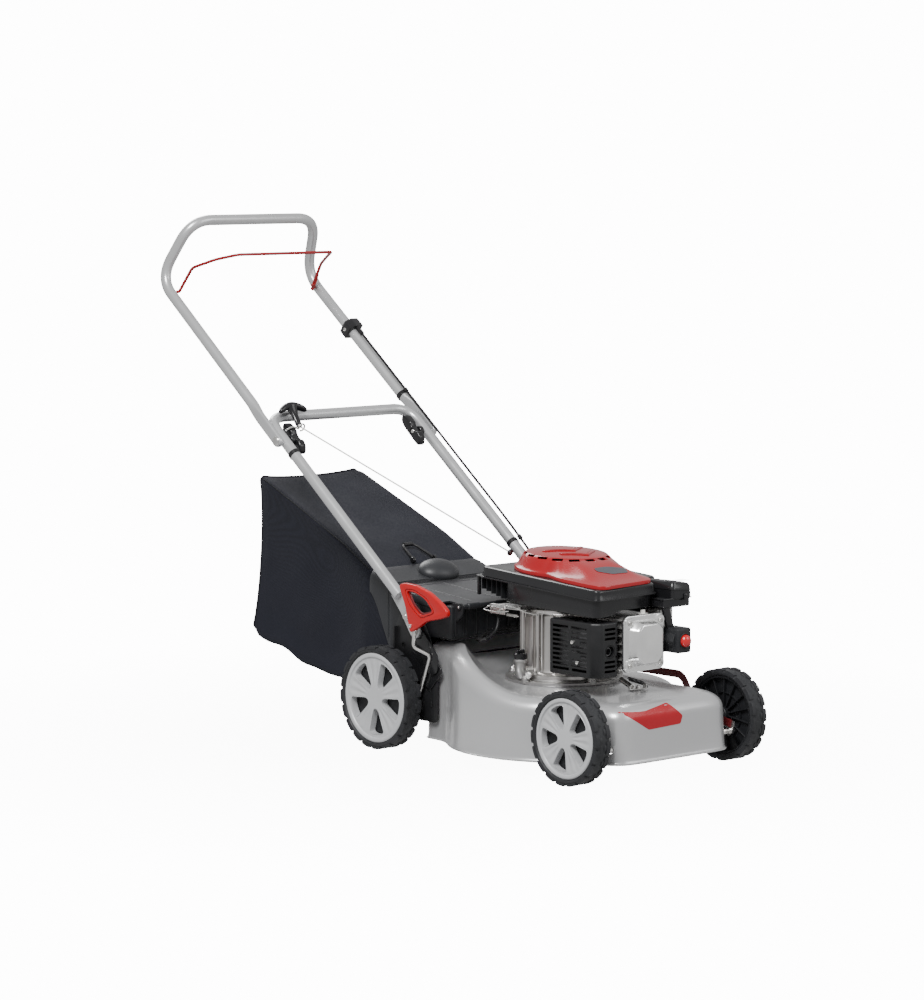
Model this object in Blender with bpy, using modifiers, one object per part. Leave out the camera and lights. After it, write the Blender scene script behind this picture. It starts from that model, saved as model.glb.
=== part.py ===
"""Push lawn mower: pressed steel deck, vertical-shaft petrol engine, folding
tubular handle, central height adjustment and a rear grass bag.

Metres, +Z up. +Y points from the engine back to the operator, +X to the
operator's left. The origin is on the ground under the middle of the whole
machine. Everything hangs from the empty "wheelbase_middle", so the sizes
below are measured from the point half way between the axles.
"""
import math

import bmesh
import bpy
from mathutils import Matrix, Vector

# ---------------------------------------------------------------- driving sizes
MIDDLE_Y = -0.3070           # wheelbase middle, seen from the machine's centre
WHEELBASE = 0.5312
GAP = 0.0003                 # between neighbours that touch

REAR_WHEEL_R = 0.100
FRONT_WHEEL_R = 0.0875
WHEEL_INNER_X = 0.1853
WHEEL_OUTER_X = 0.2233
TYRE_DEPTH = 0.0130
STUB_R = 0.006

PIVOT_Y = 0.1986             # rear height adjustment pivot
FRONT_CRANK_Y = 0.0441       # front pivot ahead of its wheel centre
PIVOT_DROP = 0.0235          # wheel centre above its pivot at the lowest cut
REAR_AXLE = (WHEELBASE / 2, REAR_WHEEL_R)
FRONT_AXLE = (-WHEELBASE / 2, FRONT_WHEEL_R)
REAR_PIVOT = (PIVOT_Y, REAR_WHEEL_R - PIVOT_DROP)
FRONT_PIVOT = (FRONT_AXLE[0] - FRONT_CRANK_Y, FRONT_WHEEL_R - PIVOT_DROP)
CRANK_X = 0.1775
REAR_ARM = (0.0250, math.radians(19.15))     # length and forward lean of each link lug
FRONT_ARM = (0.01745, math.radians(28.03))

CRANK_Y = -0.033             # blade and crankshaft axis
BLADE_R = 0.205

DECK_R = 0.220
DECK_HALF_WIDTH = 0.160
DECK_FRONT_Y = -0.335
DECK_REAR_Y = 0.185
DECK_BOTTOM_Z = 0.0275
DECK_FRONT_BOTTOM_Z = 0.038
DECK_TOP_Z = 0.146
DECK_TUNNEL_RISE = 0.070
DECK_SHEET = 0.0022
PLATFORM_R = 0.118
PLATFORM_Z = 0.150
SHAFT_HOLE_R = 0.036

HANDLE_R = 0.0110
UPPER_X = 0.1973
LOWER_X = 0.1862
LEG_ANGLE = math.radians(38.37)
FOLD_Y = 0.5780
FOLD_Z = 0.5752

FLAP_Y = 0.0985
FLAP_Z = 0.2861
FLAP_LENGTH = 0.1910
CHUTE_TOP = 0.2870
WHEEL_STEPS = 32              # facets round each wheel, one of them flat on the ground
FLAP_TILT = math.radians(5.1)

# ---------------------------------------------------------------- finishes
COLOURS = {
    "silver_paint": ((0.52, 0.53, 0.54), 0.35, 0.55),
    "tube_steel": ((0.60, 0.60, 0.60), 0.32, 0.75),
    "bright_steel": ((0.72, 0.72, 0.72), 0.22, 1.0),
    "blade_steel": ((0.34, 0.35, 0.36), 0.45, 0.9),
    "cast_aluminium": ((0.58, 0.58, 0.57), 0.48, 0.9),
    "black_plastic": ((0.022, 0.023, 0.026), 0.45, 0.0),
    "grey_plastic": ((0.62, 0.63, 0.64), 0.40, 0.0),
    "dark_plastic": ((0.050, 0.051, 0.056), 0.55, 0.0),
    "red_plastic": ((0.62, 0.030, 0.035), 0.28, 0.0),
    "red_rod": ((0.50, 0.025, 0.035), 0.35, 0.1),
    "dark_red": ((0.16, 0.012, 0.022), 0.45, 0.1),
    "rubber": ((0.018, 0.018, 0.019), 0.80, 0.0),
    "fabric": ((0.030, 0.031, 0.040), 0.90, 0.0),
    "rope": ((0.75, 0.75, 0.72), 0.70, 0.0),
    "foam": ((0.08, 0.08, 0.07), 0.95, 0.0),
    "black_paint": ((0.020, 0.020, 0.022), 0.40, 0.2),
}


# ---------------------------------------------------------------- tools
def clear_scene():
    for item in list(bpy.data.objects):
        bpy.data.objects.remove(item, do_unlink=True)


def new_collection(name):
    group = bpy.data.collections.new(name)
    bpy.context.scene.collection.children.link(group)
    return group


def material(name):
    found = bpy.data.materials.get(name)
    if found:
        return found
    colour, rough, metal = COLOURS[name]
    made = bpy.data.materials.new(name)
    made.use_nodes = True
    shader = made.node_tree.nodes["Principled BSDF"]
    shader.inputs["Base Color"].default_value = (*colour, 1.0)
    shader.inputs["Roughness"].default_value = rough
    shader.inputs["Metallic"].default_value = metal
    return made


def keep(item, finish, parent=None):
    """Put a finished part in the mower's collection, under its parent."""
    for group in list(item.users_collection):
        group.objects.unlink(item)
    MOWER.objects.link(item)
    item.data.materials.clear()
    item.data.materials.append(material(finish))
    if parent is None:
        parent = MIDDLE
    item.parent = parent
    return item


def pivot(name, place, parent=None):
    """An empty on a joint's axis. Places are measured from MIDDLE."""
    empty = bpy.data.objects.new(name, None)
    MOWER.objects.link(empty)
    empty.empty_display_size = 0.03
    if parent is None:
        empty.parent = MIDDLE
        empty.location = place
    else:
        empty.parent = parent
        empty.location = Vector(place) - origin_of(parent)
    return empty


def origin_of(empty):
    place = Vector((0, 0, 0))
    while empty is not None and empty is not MIDDLE:
        place += empty.location
        empty = empty.parent
    return place


def rehang(item, empty):
    """Parent a part modelled from MIDDLE to an empty without moving it."""
    item.parent = empty
    item.location = item.location - origin_of(empty)
    return item


def mesh_from(bm, name, smooth=40.0):
    mesh = bpy.data.meshes.new(name)
    bmesh.ops.recalc_face_normals(bm, faces=bm.faces)
    bm.to_mesh(mesh)
    bm.free()
    if smooth:
        mesh.shade_smooth()
        mesh.set_sharp_from_angle(angle=math.radians(smooth))
    item = bpy.data.objects.new(name, mesh)
    bpy.context.scene.collection.objects.link(item)
    return item


def box(name, low, high, bevel=0.0, segments=1):
    bm = bmesh.new()
    bmesh.ops.create_cube(bm, size=1.0)
    size = Vector(high) - Vector(low)
    centre = (Vector(high) + Vector(low)) / 2
    bmesh.ops.scale(bm, vec=size, verts=bm.verts)
    bmesh.ops.translate(bm, vec=centre, verts=bm.verts)
    if bevel:
        bmesh.ops.bevel(bm, geom=bm.edges[:], offset=bevel, segments=segments,
                        affect="EDGES", profile=0.5)
    return mesh_from(bm, name)


AXIS_TURN = {
    "X": Matrix.Rotation(math.pi / 2, 4, "Y"),
    "Y": Matrix.Rotation(-math.pi / 2, 4, "X"),
    "Z": Matrix.Identity(4),
}


def rod(name, centre, radius, length, axis="Z", sides=20, top_radius=None):
    """A cylinder or a cone about its centre; the top end is on +axis."""
    bm = bmesh.new()
    far_radius = radius if top_radius is None else top_radius
    bmesh.ops.create_cone(bm, cap_ends=True, segments=sides, radius1=radius,
                          radius2=far_radius, depth=length)
    bmesh.ops.transform(bm, matrix=AXIS_TURN[axis], verts=bm.verts)
    bmesh.ops.translate(bm, vec=Vector(centre), verts=bm.verts)
    return mesh_from(bm, name)


def turned(name, profile, centre, axis="Z", steps=32):
    """A closed profile of (radius, height) pairs turned about an axis."""
    bm = bmesh.new()
    ring = [bm.verts.new((radius, 0.0, height)) for radius, height in profile]
    pairs = [(ring[i], ring[(i + 1) % len(ring)]) for i in range(len(ring))]
    edges = [bm.edges.new(pair) for pair in pairs if pair[0].co.x + pair[1].co.x > 0.0]
    bmesh.ops.spin(bm, geom=ring + edges, cent=(0, 0, 0), axis=(0, 0, 1),
                   angle=math.tau, steps=steps, use_merge=True)
    bmesh.ops.remove_doubles(bm, verts=bm.verts, dist=1e-6)
    bmesh.ops.dissolve_degenerate(bm, dist=1e-7, edges=bm.edges)
    bmesh.ops.transform(bm, matrix=AXIS_TURN[axis], verts=bm.verts)
    bmesh.ops.translate(bm, vec=Vector(centre), verts=bm.verts)
    return mesh_from(bm, name)


def slab(name, outline, low, high, axis="Z"):
    """A flat outline given thickness. The outline's two numbers run along the
    other two axes: (x, y) for Z, (y, z) for X and (x, z) for Y."""
    def place(a, b, depth):
        if axis == "Z":
            return (a, b, depth)
        if axis == "X":
            return (depth, a, b)
        return (a, depth, b)
    bm = bmesh.new()
    face = bm.faces.new([bm.verts.new(place(a, b, low)) for a, b in outline])
    grown = bmesh.ops.extrude_face_region(bm, geom=[face])
    moved = [part for part in grown["geom"] if isinstance(part, bmesh.types.BMVert)]
    shift = Vector(place(0.0, 0.0, high)) - Vector(place(0.0, 0.0, low))
    bmesh.ops.translate(bm, vec=shift, verts=moved)
    return mesh_from(bm, name)


def loft(name, sections):
    """Join closed rings with the same number of points into one closed body."""
    bm = bmesh.new()
    rings = [[bm.verts.new(point) for point in section] for section in sections]
    count = len(rings[0])
    for near, far in zip(rings, rings[1:]):
        for i in range(count):
            j = (i + 1) % count
            bm.faces.new((near[i], near[j], far[j], far[i]))
    bm.faces.new(rings[0][::-1])
    bm.faces.new(rings[-1])
    return mesh_from(bm, name)


def arc(centre, radius, start, end, steps):
    """Points of an arc in degrees, as (a, b) pairs."""
    points = []
    for i in range(steps + 1):
        angle = math.radians(start + (end - start) * i / steps)
        points.append((centre[0] + radius * math.cos(angle),
                       centre[1] + radius * math.sin(angle)))
    return points


def rounded(points, radius, steps=4):
    """Replace the inner corners of a path by arcs of one radius."""
    path = [Vector(point) for point in points]
    out = [path[0]]
    for before, corner, after in zip(path, path[1:], path[2:]):
        inward = (before - corner).normalized()
        outward = (after - corner).normalized()
        half = inward.angle(outward) / 2
        reach = radius / math.tan(half)
        middle = (inward + outward).normalized() * (radius / math.sin(half)) + corner
        start = corner + inward * reach - middle
        end = corner + outward * reach - middle
        for i in range(steps + 1):
            turn = start.normalized().slerp(end.normalized(), i / steps)
            out.append(middle + turn * radius)
    out.append(path[-1])
    return out


def tube(name, path, radius, resolution=4, closed=False):
    """A round bar or tube along a path: a bevelled poly curve, made a mesh."""
    curve = bpy.data.curves.new(name, "CURVE")
    curve.dimensions = "3D"
    curve.bevel_depth = radius
    curve.bevel_resolution = resolution
    curve.use_fill_caps = True
    spline = curve.splines.new("POLY")
    spline.points.add(len(path) - 1)
    for point, place in zip(spline.points, path):
        point.co = (*place, 1.0)
    spline.use_cyclic_u = closed
    holder = bpy.data.objects.new(name + "_curve", curve)
    bpy.context.scene.collection.objects.link(holder)
    shot = holder.evaluated_get(bpy.context.evaluated_depsgraph_get())
    mesh = bpy.data.meshes.new_from_object(shot)
    bpy.data.objects.remove(holder, do_unlink=True)
    bm = bmesh.new()
    bm.from_mesh(mesh)
    bmesh.ops.remove_doubles(bm, verts=bm.verts, dist=1e-6)
    return mesh_from(bm, name)


def merge(base, tools, operation="UNION"):
    """Boolean each tool into the base and remove the tools."""
    for tool in tools:
        step = base.modifiers.new("cut", "BOOLEAN")
        step.operation = operation
        step.solver = "EXACT"
        step.object = tool
        shot = base.evaluated_get(bpy.context.evaluated_depsgraph_get())
        mesh = bpy.data.meshes.new_from_object(shot)
        base.modifiers.clear()
        base.data = mesh
        bpy.data.objects.remove(tool, do_unlink=True)
    bm = bmesh.new()
    bm.from_mesh(base.data)
    bmesh.ops.remove_doubles(bm, verts=bm.verts, dist=1e-6)
    bmesh.ops.dissolve_degenerate(bm, dist=1e-7, edges=bm.edges)
    bm.to_mesh(base.data)
    bm.free()
    base.data.shade_smooth()
    base.data.set_sharp_from_angle(angle=math.radians(40))
    return base


def cut(base, *tools):
    return merge(base, tools, "DIFFERENCE")


def join(base, *tools):
    return merge(base, tools, "UNION")


def smoothstep(value):
    value = min(1.0, max(0.0, value))
    return value * value * (3.0 - 2.0 * value)


# ---------------------------------------------------------------- deck
def reach(angle, inset=0.0):
    """Distance from the crank axis to the deck's outline. Angle 0 is ahead and
    grows towards the operator's right (-X)."""
    across, ahead = abs(math.sin(angle)), math.cos(angle)
    end = (CRANK_Y - DECK_FRONT_Y) if ahead > 0 else (DECK_REAR_Y - CRANK_Y)
    sharp = 14.0 if ahead > 0 else 30.0
    width = DECK_HALF_WIDTH - inset
    long_way = (end - (inset if ahead > 0 else 0.0))
    square = ((across / width) ** sharp + (abs(ahead) / long_way) ** sharp) ** (-1 / sharp)
    return max(DECK_R - inset, square)


def shoulder_z(angle):
    """The top rises round the operator's right side into the rear tunnel."""
    degrees = math.degrees(angle)
    if degrees >= 0:
        rise = smoothstep((degrees - 62.0) / 76.0)
    else:
        rise = smoothstep((-122.0 - degrees) / 42.0)
    return DECK_TOP_Z + DECK_TUNNEL_RISE * rise


def make_deck():
    angles = [math.radians(-180 + 360 * i / 48) for i in range(48)]
    shoulder = 0.030
    bm = bmesh.new()
    rings = []

    def ring(rule):
        row = []
        for angle in angles:
            distance, height = rule(angle)
            row.append(bm.verts.new((-math.sin(angle) * distance,
                                     CRANK_Y - math.cos(angle) * distance, height)))
        rings.append(row)

    def bottom(angle):
        ahead = smoothstep((math.cos(angle) - 0.75) / 0.15)
        return DECK_BOTTOM_Z + (DECK_FRONT_BOTTOM_Z - DECK_BOTTOM_Z) * ahead

    ring(lambda a: (reach(a) + 0.004, bottom(a)))
    ring(lambda a: (reach(a), bottom(a) + 0.004))
    for turn in (0.0, 30.0, 60.0, 90.0):
        radians = math.radians(turn)
        ring(lambda a, r=radians: (reach(a, 0.003 + shoulder * (1 - math.cos(r))),
                                   shoulder_z(a) - shoulder * (1 - math.sin(r))))
    ring(lambda a: ((reach(a, 0.03) + PLATFORM_R) / 2, (shoulder_z(a) * 0.55 + PLATFORM_Z * 0.45)))
    ring(lambda a: (PLATFORM_R, PLATFORM_Z))
    ring(lambda a: (SHAFT_HOLE_R, PLATFORM_Z))
    count = len(angles)
    for outer, inner in zip(rings, rings[1:]):
        for i in range(count):
            j = (i + 1) % count
            bm.faces.new((outer[i], outer[j], inner[j], inner[i]))
    deck = mesh_from(bm, "deck")
    sheet = deck.modifiers.new("sheet", "SOLIDIFY")
    sheet.thickness = DECK_SHEET
    sheet.offset = -1.0
    shot = deck.evaluated_get(bpy.context.evaluated_depsgraph_get())
    deck.data = bpy.data.meshes.new_from_object(shot)
    deck.modifiers.clear()
    cut(deck,
        box("tunnel_mouth", (-0.138, 0.150, 0.060), (0.100, 0.215, 0.186)),
        rod("front_pivot_holes", (0, *FRONT_PIVOT), STUB_R + 0.0009, 0.5, "X", 16))
    return keep(deck, "silver_paint")


def make_chute():
    """Black tunnel behind the deck that carries the flap and meets the bag."""
    rear = DECK_REAR_Y + 0.0052
    shell = box("discharge_chute", (-0.158, rear, 0.092), (0.158, 0.286, CHUTE_TOP))
    join(shell, box("hood", (-0.158, 0.112, 0.2215), (0.158, rear + 0.01, CHUTE_TOP)))
    cut(shell,
        box("bore", (-0.140, rear - 0.01, 0.0955), (0.140, 0.300, CHUTE_TOP - 0.0035)),
        box("hood_bore", (-0.154, 0.116, 0.2255), (0.154, 0.240, CHUTE_TOP - 0.0035)))
    for side in (-1, 1):
        outline = [(0.1300, 0.2860), (0.1130, 0.2920), (0.0930, 0.2920), (0.0910, 0.2800),
                   (0.1125, 0.2650), (0.1300, 0.2650)]
        join(shell, slab("lug", outline, *sorted((side * 0.1440, side * 0.1490)), "X"))
    cut(shell, rod("rod_bore", (0, FLAP_Y, FLAP_Z), 0.0028, 0.40, "X", 12))
    return keep(shell, "black_plastic")


def make_brackets():
    """Side plates that carry the handle and the rear axle."""
    for name, side in (("handle_bracket_right", -1), ("handle_bracket_left", 1)):
        outline = [(0.140, 0.060), (0.236, 0.060), (0.262, 0.110), (0.262, 0.235),
                   (0.238, 0.285), (0.196, 0.285), (0.158, 0.215), (0.140, 0.150)]
        low, high = sorted((side * 0.1655, side * 0.1690))
        plate = slab(name, outline, low, high, "X")
        cut(plate, rod("pivot_hole", (side * 0.167, *REAR_PIVOT), STUB_R + 0.0008, 0.02, "X", 16))
        inner, outer = sorted((side * 0.1685, side * 0.1742))
        stud_low, stud_high = sorted((side * 0.1685, side * 0.1880))
        nut_low, nut_high = sorted((side * 0.1829, side * 0.1880))
        join(plate, rod("spacer_up", ((inner + outer) / 2, 0.212, 0.262), 0.008,
                        outer - inner, "X", 12),
             rod("spacer_down", ((inner + outer) / 2, 0.190, 0.234), 0.008,
                 outer - inner, "X", 12),
             rod("stud_up", ((stud_low + stud_high) / 2, 0.212, 0.262), 0.0028,
                 stud_high - stud_low, "X", 8),
             rod("stud_down", ((stud_low + stud_high) / 2, 0.190, 0.234), 0.0028,
                 stud_high - stud_low, "X", 8),
             rod("nut_up", ((nut_low + nut_high) / 2, 0.212, 0.262), 0.0060,
                 nut_high - nut_low, "X", 6),
             rod("nut_down", ((nut_low + nut_high) / 2, 0.190, 0.234), 0.0060,
                 nut_high - nut_low, "X", 6))
        keep(plate, "black_paint")


def make_sector():
    """Notched plate that holds the height lever."""
    edge = arc(REAR_PIVOT, 0.112, 82, 132, 20)
    outline = []
    for i, (y, z) in enumerate(edge):
        pull = 0.004 if i % 3 == 1 else 0.0
        direction = Vector((y - REAR_PIVOT[0], z - REAR_PIVOT[1])).normalized()
        outline.append((y + direction.x * pull, z + direction.y * pull))
    outline += arc(REAR_PIVOT, 0.060, 132, 82, 4)
    sector = slab("height_sector", outline, -0.1727, -0.1693, "X")
    keep(sector, "black_plastic")


# ---------------------------------------------------------------- wheels and axles
def make_axle(name, wheel, axle_pivot, body, arm):
    """Steel rod with a crank at each end, and a lug for the link strap."""
    wheel_y, wheel_z = wheel
    pivot_y, pivot_z = axle_pivot
    end = WHEEL_OUTER_X - 0.006
    path = [(-end, wheel_y, wheel_z), (-CRANK_X, wheel_y, wheel_z), (-CRANK_X, pivot_y, pivot_z),
            (CRANK_X, pivot_y, pivot_z), (CRANK_X, wheel_y, wheel_z), (end, wheel_y, wheel_z)]
    axle = tube(name, rounded([Vector(p) for p in path], 0.0065, 3), STUB_R, 4)
    length, lean = arm
    lug = slab("lug", arc((0, 0), 0.0085, 180, 360, 6) + arc((0, length), 0.0065, 0, 180, 6),
               0.1635, 0.1652, "X")
    lug.data.transform(Matrix.Rotation(lean, 4, "X"))
    lug.data.transform(Matrix.Translation((0, pivot_y, pivot_z)))
    join(axle, lug)
    keep(axle, "bright_steel")
    rehang(axle, body)
    return (pivot_y - math.sin(lean) * length, pivot_z + math.cos(lean) * length)


def make_wheel(tag, wheel, radius, side, body):
    """Rubber tyre and a five-window plastic wheel turning on one axis."""
    wheel_y, wheel_z = wheel
    centre_x = side * (WHEEL_INNER_X + WHEEL_OUTER_X) / 2
    half = (WHEEL_OUTER_X - WHEEL_INNER_X) / 2
    rim = radius - TYRE_DEPTH
    crown = radius / math.cos(math.pi / WHEEL_STEPS)
    profile = [(rim, -half + 0.003), (crown - 0.005, -half), (crown, -half + 0.006),
               (crown, half - 0.006), (crown - 0.005, half), (rim, half - 0.003)]
    centre = Matrix.Translation((centre_x, wheel_y, wheel_z))
    flat_down = centre @ Matrix.Rotation(math.pi / WHEEL_STEPS, 4, "X") @ centre.inverted()
    tyre = turned("tyre_" + tag, profile, (centre_x, wheel_y, wheel_z), "X", WHEEL_STEPS)
    tyre.data.transform(flat_down)
    keep(tyre, "rubber")
    rehang(tyre, body)
    out = side * (half - 0.003)
    inward = -side
    ring_r = rim - GAP
    hub = [(STUB_R + 0.0008, out), (0.020, out), (ring_r - 0.014, out + inward * 0.002),
           (ring_r - 0.010, out), (ring_r, out),
           (ring_r, -out), (ring_r - 0.005, -out), (ring_r - 0.005, out + inward * 0.008),
           (0.017, out + inward * 0.006), (0.017, -out), (STUB_R + 0.0008, -out)]
    disc = turned("wheel_" + tag, hub, (centre_x, wheel_y, wheel_z), "X", WHEEL_STEPS)
    disc.data.transform(flat_down)
    windows = []
    for i in range(5):
        outline = [(ring_r * 0.38, 0.0), (ring_r * 0.72, -ring_r * 0.17),
                   (ring_r * 0.80, -ring_r * 0.12), (ring_r * 0.80, ring_r * 0.12),
                   (ring_r * 0.72, ring_r * 0.17)]
        window = slab("window", outline, -0.03, 0.03, "X")
        window.data.transform(Matrix.Rotation(math.tau * i / 5 + 0.35, 4, "X"))
        window.data.transform(Matrix.Translation((centre_x, wheel_y, wheel_z)))
        windows.append(window)
    cut(disc, *windows)
    keep(disc, "grey_plastic")
    rehang(disc, body)


def make_running_gear():
    rear = pivot("rear_axle_pivot", (0, *REAR_PIVOT))
    front = pivot("front_axle_pivot", (0, *FRONT_PIVOT))
    rear_tip = make_axle("rear_axle", REAR_AXLE, REAR_PIVOT, rear, REAR_ARM)
    front_tip = make_axle("front_axle", FRONT_AXLE, FRONT_PIVOT, front, FRONT_ARM)
    for end, wheel, radius, holder in (("rear", REAR_AXLE, REAR_WHEEL_R, rear),
                                       ("front", FRONT_AXLE, FRONT_WHEEL_R, front)):
        for name, side in (("right", -1), ("left", 1)):
            tag = end + "_" + name
            hub = pivot("hub_" + tag, (0, *wheel), holder)
            make_wheel(tag, wheel, radius, side, hub)
    make_link(rear_tip, front_tip)
    make_height_lever(rear)


def make_link(rear_tip, front_tip):
    """Flat strap joining the two axle lugs over the deck's left shoulder."""
    centre = [Vector((0, *front_tip)), Vector((0, -0.2290, 0.0960)), Vector((0, -0.1880, 0.1580)),
              Vector((0, 0.1450, 0.1580)), Vector((0, *rear_tip))]
    path = rounded(centre, 0.024, 5)
    half = 0.0075
    left, right = [], []
    for i, point in enumerate(path):
        along = (path[min(i + 1, len(path) - 1)] - path[max(i - 1, 0)]).normalized()
        side = Vector((0, -along.z, along.y))
        left.append(point + side * half)
        right.append(point - side * half)
    outline = [(p.y, p.z) for p in left] + [(p.y, p.z) for p in reversed(right)]
    strap = slab("link_strap", outline, 0.1612, 0.1632, "X")
    return keep(strap, "dark_red")


def make_height_lever(body):
    grip_foot = Vector((-0.2020, 0.1683, 0.2512))
    rod_path = [Vector((-0.1775, 0.1955, 0.0833)),
                Vector((-0.1775, 0.179, 0.1204)), Vector((-0.1790, 0.1490, 0.190)),
                Vector((-0.2000, 0.1742, 0.2063)), grip_foot + Vector((0.0020, 0.0, 0.012))]
    lever = tube("height_lever", rounded(rod_path, 0.006, 3), 0.0035, 2)
    keep(lever, "bright_steel")
    rehang(lever, body)
    outline = [(0.1760, 0.2340), (0.1560, 0.2440), (0.1280, 0.2610), (0.0860, 0.2700), (0.0690, 0.2760),
               (0.0700, 0.2870), (0.0860, 0.2990), (0.1200, 0.3170), (0.1600, 0.3275), (0.1950, 0.3290),
               (0.2080, 0.3235), (0.2030, 0.3120), (0.1900, 0.2860), (0.1830, 0.2600)]
    grip = slab("height_grip", outline, -0.2080, -0.1975, "X")
    cut(grip, slab("finger_hole", [(0.1450, 0.2700), (0.1080, 0.2810), (0.1300, 0.3030),
                                   (0.1600, 0.3140), (0.1860, 0.3150), (0.1720, 0.2900)],
                   -0.25, -0.15, "X"),
        tube("rod_bore", [rod_path[3] - Vector((0, 0, 0.004)), rod_path[4] + Vector((0, 0, 0.001))],
             0.0038, 2))
    keep(grip, "red_plastic")
    rehang(grip, body)


# ---------------------------------------------------------------- engine
def make_crankcase():
    sump = turned("sump", [(0.0185, 0.1503), (0.112, 0.1503), (0.112, 0.158), (0.094, 0.1600),
                           (0.0185, 0.1600)], (0, CRANK_Y, 0), "Z", 32)
    keep(sump, "cast_aluminium")
    case = turned("crankcase", [(0.078, 0.1603), (0.090, 0.1603), (0.090, 0.290), (0.0160, 0.290),
                                (0.0160, 0.284), (0.078, 0.284)], (0, CRANK_Y, 0), "Z", 32)
    bore_y = -0.2020
    join(case, box("barrel", (-0.036, bore_y, 0.2080), (0.036, -0.105, 0.2740)))
    for i in range(6):
        y = -0.1360 - 0.0115 * i
        join(case, box("fin", (-0.0500, y - 0.0022, 0.1930), (0.0500, y + 0.0022, 0.2890)))
    join(case, tube("oil_neck", [Vector((-0.0840, -0.0290, 0.1720)), Vector((-0.1060, -0.0290, 0.1780)),
                                 Vector((-0.1090, -0.0290, 0.1960))], 0.0085, 3),
         rod("drain_boss", (-0.0950, -0.0140, 0.1700), 0.0075, 0.0200, "X", 10))
    cut(case, rod("bore", (0, -0.160, 0.241), 0.0262, 0.120, "Y", 20))
    return keep(case, "cast_aluminium")


def make_head():
    head = box("cylinder_head", (-0.0460, -0.2440, 0.1950), (0.0460, -0.2023, 0.2870), 0.003)
    for i in range(3):
        y = -0.2100 - 0.0115 * i
        join(head, box("fin", (-0.0520, y - 0.0020, 0.1920), (0.0520, y + 0.0020, 0.2900)))
    cut(head, rod("plug_hole", (0.020, -0.2245, 0.2830), 0.0076, 0.030, "Z", 12),
        rod("chamber", (0, -0.2060, 0.241), 0.0240, 0.012, "Y", 16))
    keep(head, "cast_aluminium")
    plug = turned("spark_plug", [(0.0, 0.2690), (0.0070, 0.2690), (0.0070, 0.2903), (0.0100, 0.2908),
                                 (0.0100, 0.2925), (0.0050, 0.2930), (0.0045, 0.2990),
                                 (0.0, 0.2990)], (0.020, -0.2245, 0), "Z", 12)
    keep(plug, "bright_steel")
    flange = []
    for cx, cz, start in ((0.0405, 0.2815, 0), (-0.0405, 0.2815, 90),
                          (-0.0405, 0.2005, 180), (0.0405, 0.2005, 270)):
        flange += arc((cx, cz), 0.0125, start, start + 90, 4)
    cover = slab("rocker_cover", flange, -0.2505, -0.2443, "Y")
    dome_low, dome_high = [], []
    for cx, cz, start in ((0.030, 0.270, 0), (-0.030, 0.270, 90), (-0.030, 0.212, 180),
                          (0.030, 0.212, 270)):
        for x, z in arc((cx, cz), 0.012, start, start + 90, 2):
            dome_low.append((x, -0.2490, z))
            dome_high.append((x * 0.90, -0.2690, 0.241 + (z - 0.241) * 0.90))
    join(cover, loft("dome", [dome_low, dome_high]))
    for x in (-0.0405, 0.0405):
        for z in (0.2005, 0.2815):
            join(cover, rod("bolt", (x, -0.2530, z), 0.0058, 0.0075, "Y", 6))
    keep(cover, "cast_aluminium")


def make_muffler():
    body = box("muffler", (-0.1060, -0.2310, 0.1900), (-0.0660, -0.1180, 0.2760), 0.006, 2)
    cut(body, rod("outlet", (-0.0820, -0.2290, 0.2300), 0.0080, 0.040, "Y", 12))
    keep(body, "blade_steel")
    guard = box("muffler_guard", (-0.1130, -0.2385, 0.1800), (-0.0610, -0.1110, 0.2850), 0.006, 2)
    cut(guard, box("hollow", (-0.1105, -0.2360, 0.1825), (-0.050, -0.1135, 0.2825)),
        rod("exhaust_hole", (-0.0820, -0.2385, 0.2300), 0.0115, 0.020, "Y", 16))
    for i in range(7):
        z = 0.1920 + 0.0130 * i
        cut(guard, box("slot", (-0.1200, -0.2200, z), (-0.1100, -0.1260, z + 0.0045)))
    keep(guard, "black_plastic")


def shell_box(name, low, high, top_front, top_rear):
    """A box whose roof slopes from front to rear."""
    part = box(name, low, high)
    for vertex in part.data.vertices:
        if vertex.co.z > (low[2] + high[2]) / 2:
            vertex.co.z = top_front if vertex.co.y < (low[1] + high[1]) / 2 else top_rear
    return part


def make_shroud():
    """Black blower housing: a long lid over a narrower body, open below."""
    shroud = shell_box("blower_housing", (-0.1120, -0.2360, 0.2930), (0.0500, -0.0360, 0.330), 0.335, 0.345)
    join(shroud, rod("volute", (0, CRANK_Y, 0.319), 0.1060, 0.052, "Z", 32))
    lid = shell_box("lid", (-0.1185, -0.2450, 0.3260), (0.0500, 0.0960, 0.350), 0.3450, 0.3660)
    for vertex in lid.data.vertices:
        if vertex.co.z < 0.330 and vertex.co.y > 0:
            vertex.co.z = 0.3440
    far = shell_box("lid_far", (0.0400, -0.1800, 0.3300), (0.1185, 0.0900, 0.350), 0.3490, 0.3655)
    join(shroud, lid, far)
    tray = box("filter_tray", (0.0450, -0.2560, 0.3000), (0.1140, -0.1700, 0.3180), 0.003)
    join(shroud, tray)
    cut(shroud, rod("fan_space", (0, CRANK_Y, 0.310), 0.0980, 0.060, "Z", 32),
        rod("pulley_space", (0, CRANK_Y, 0.350), 0.0700, 0.060, "Z", 24),
        box("head_space", (-0.0560, -0.2600, 0.2000), (0.0560, -0.1100, 0.3040)))
    keep(shroud, "black_plastic")


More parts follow.
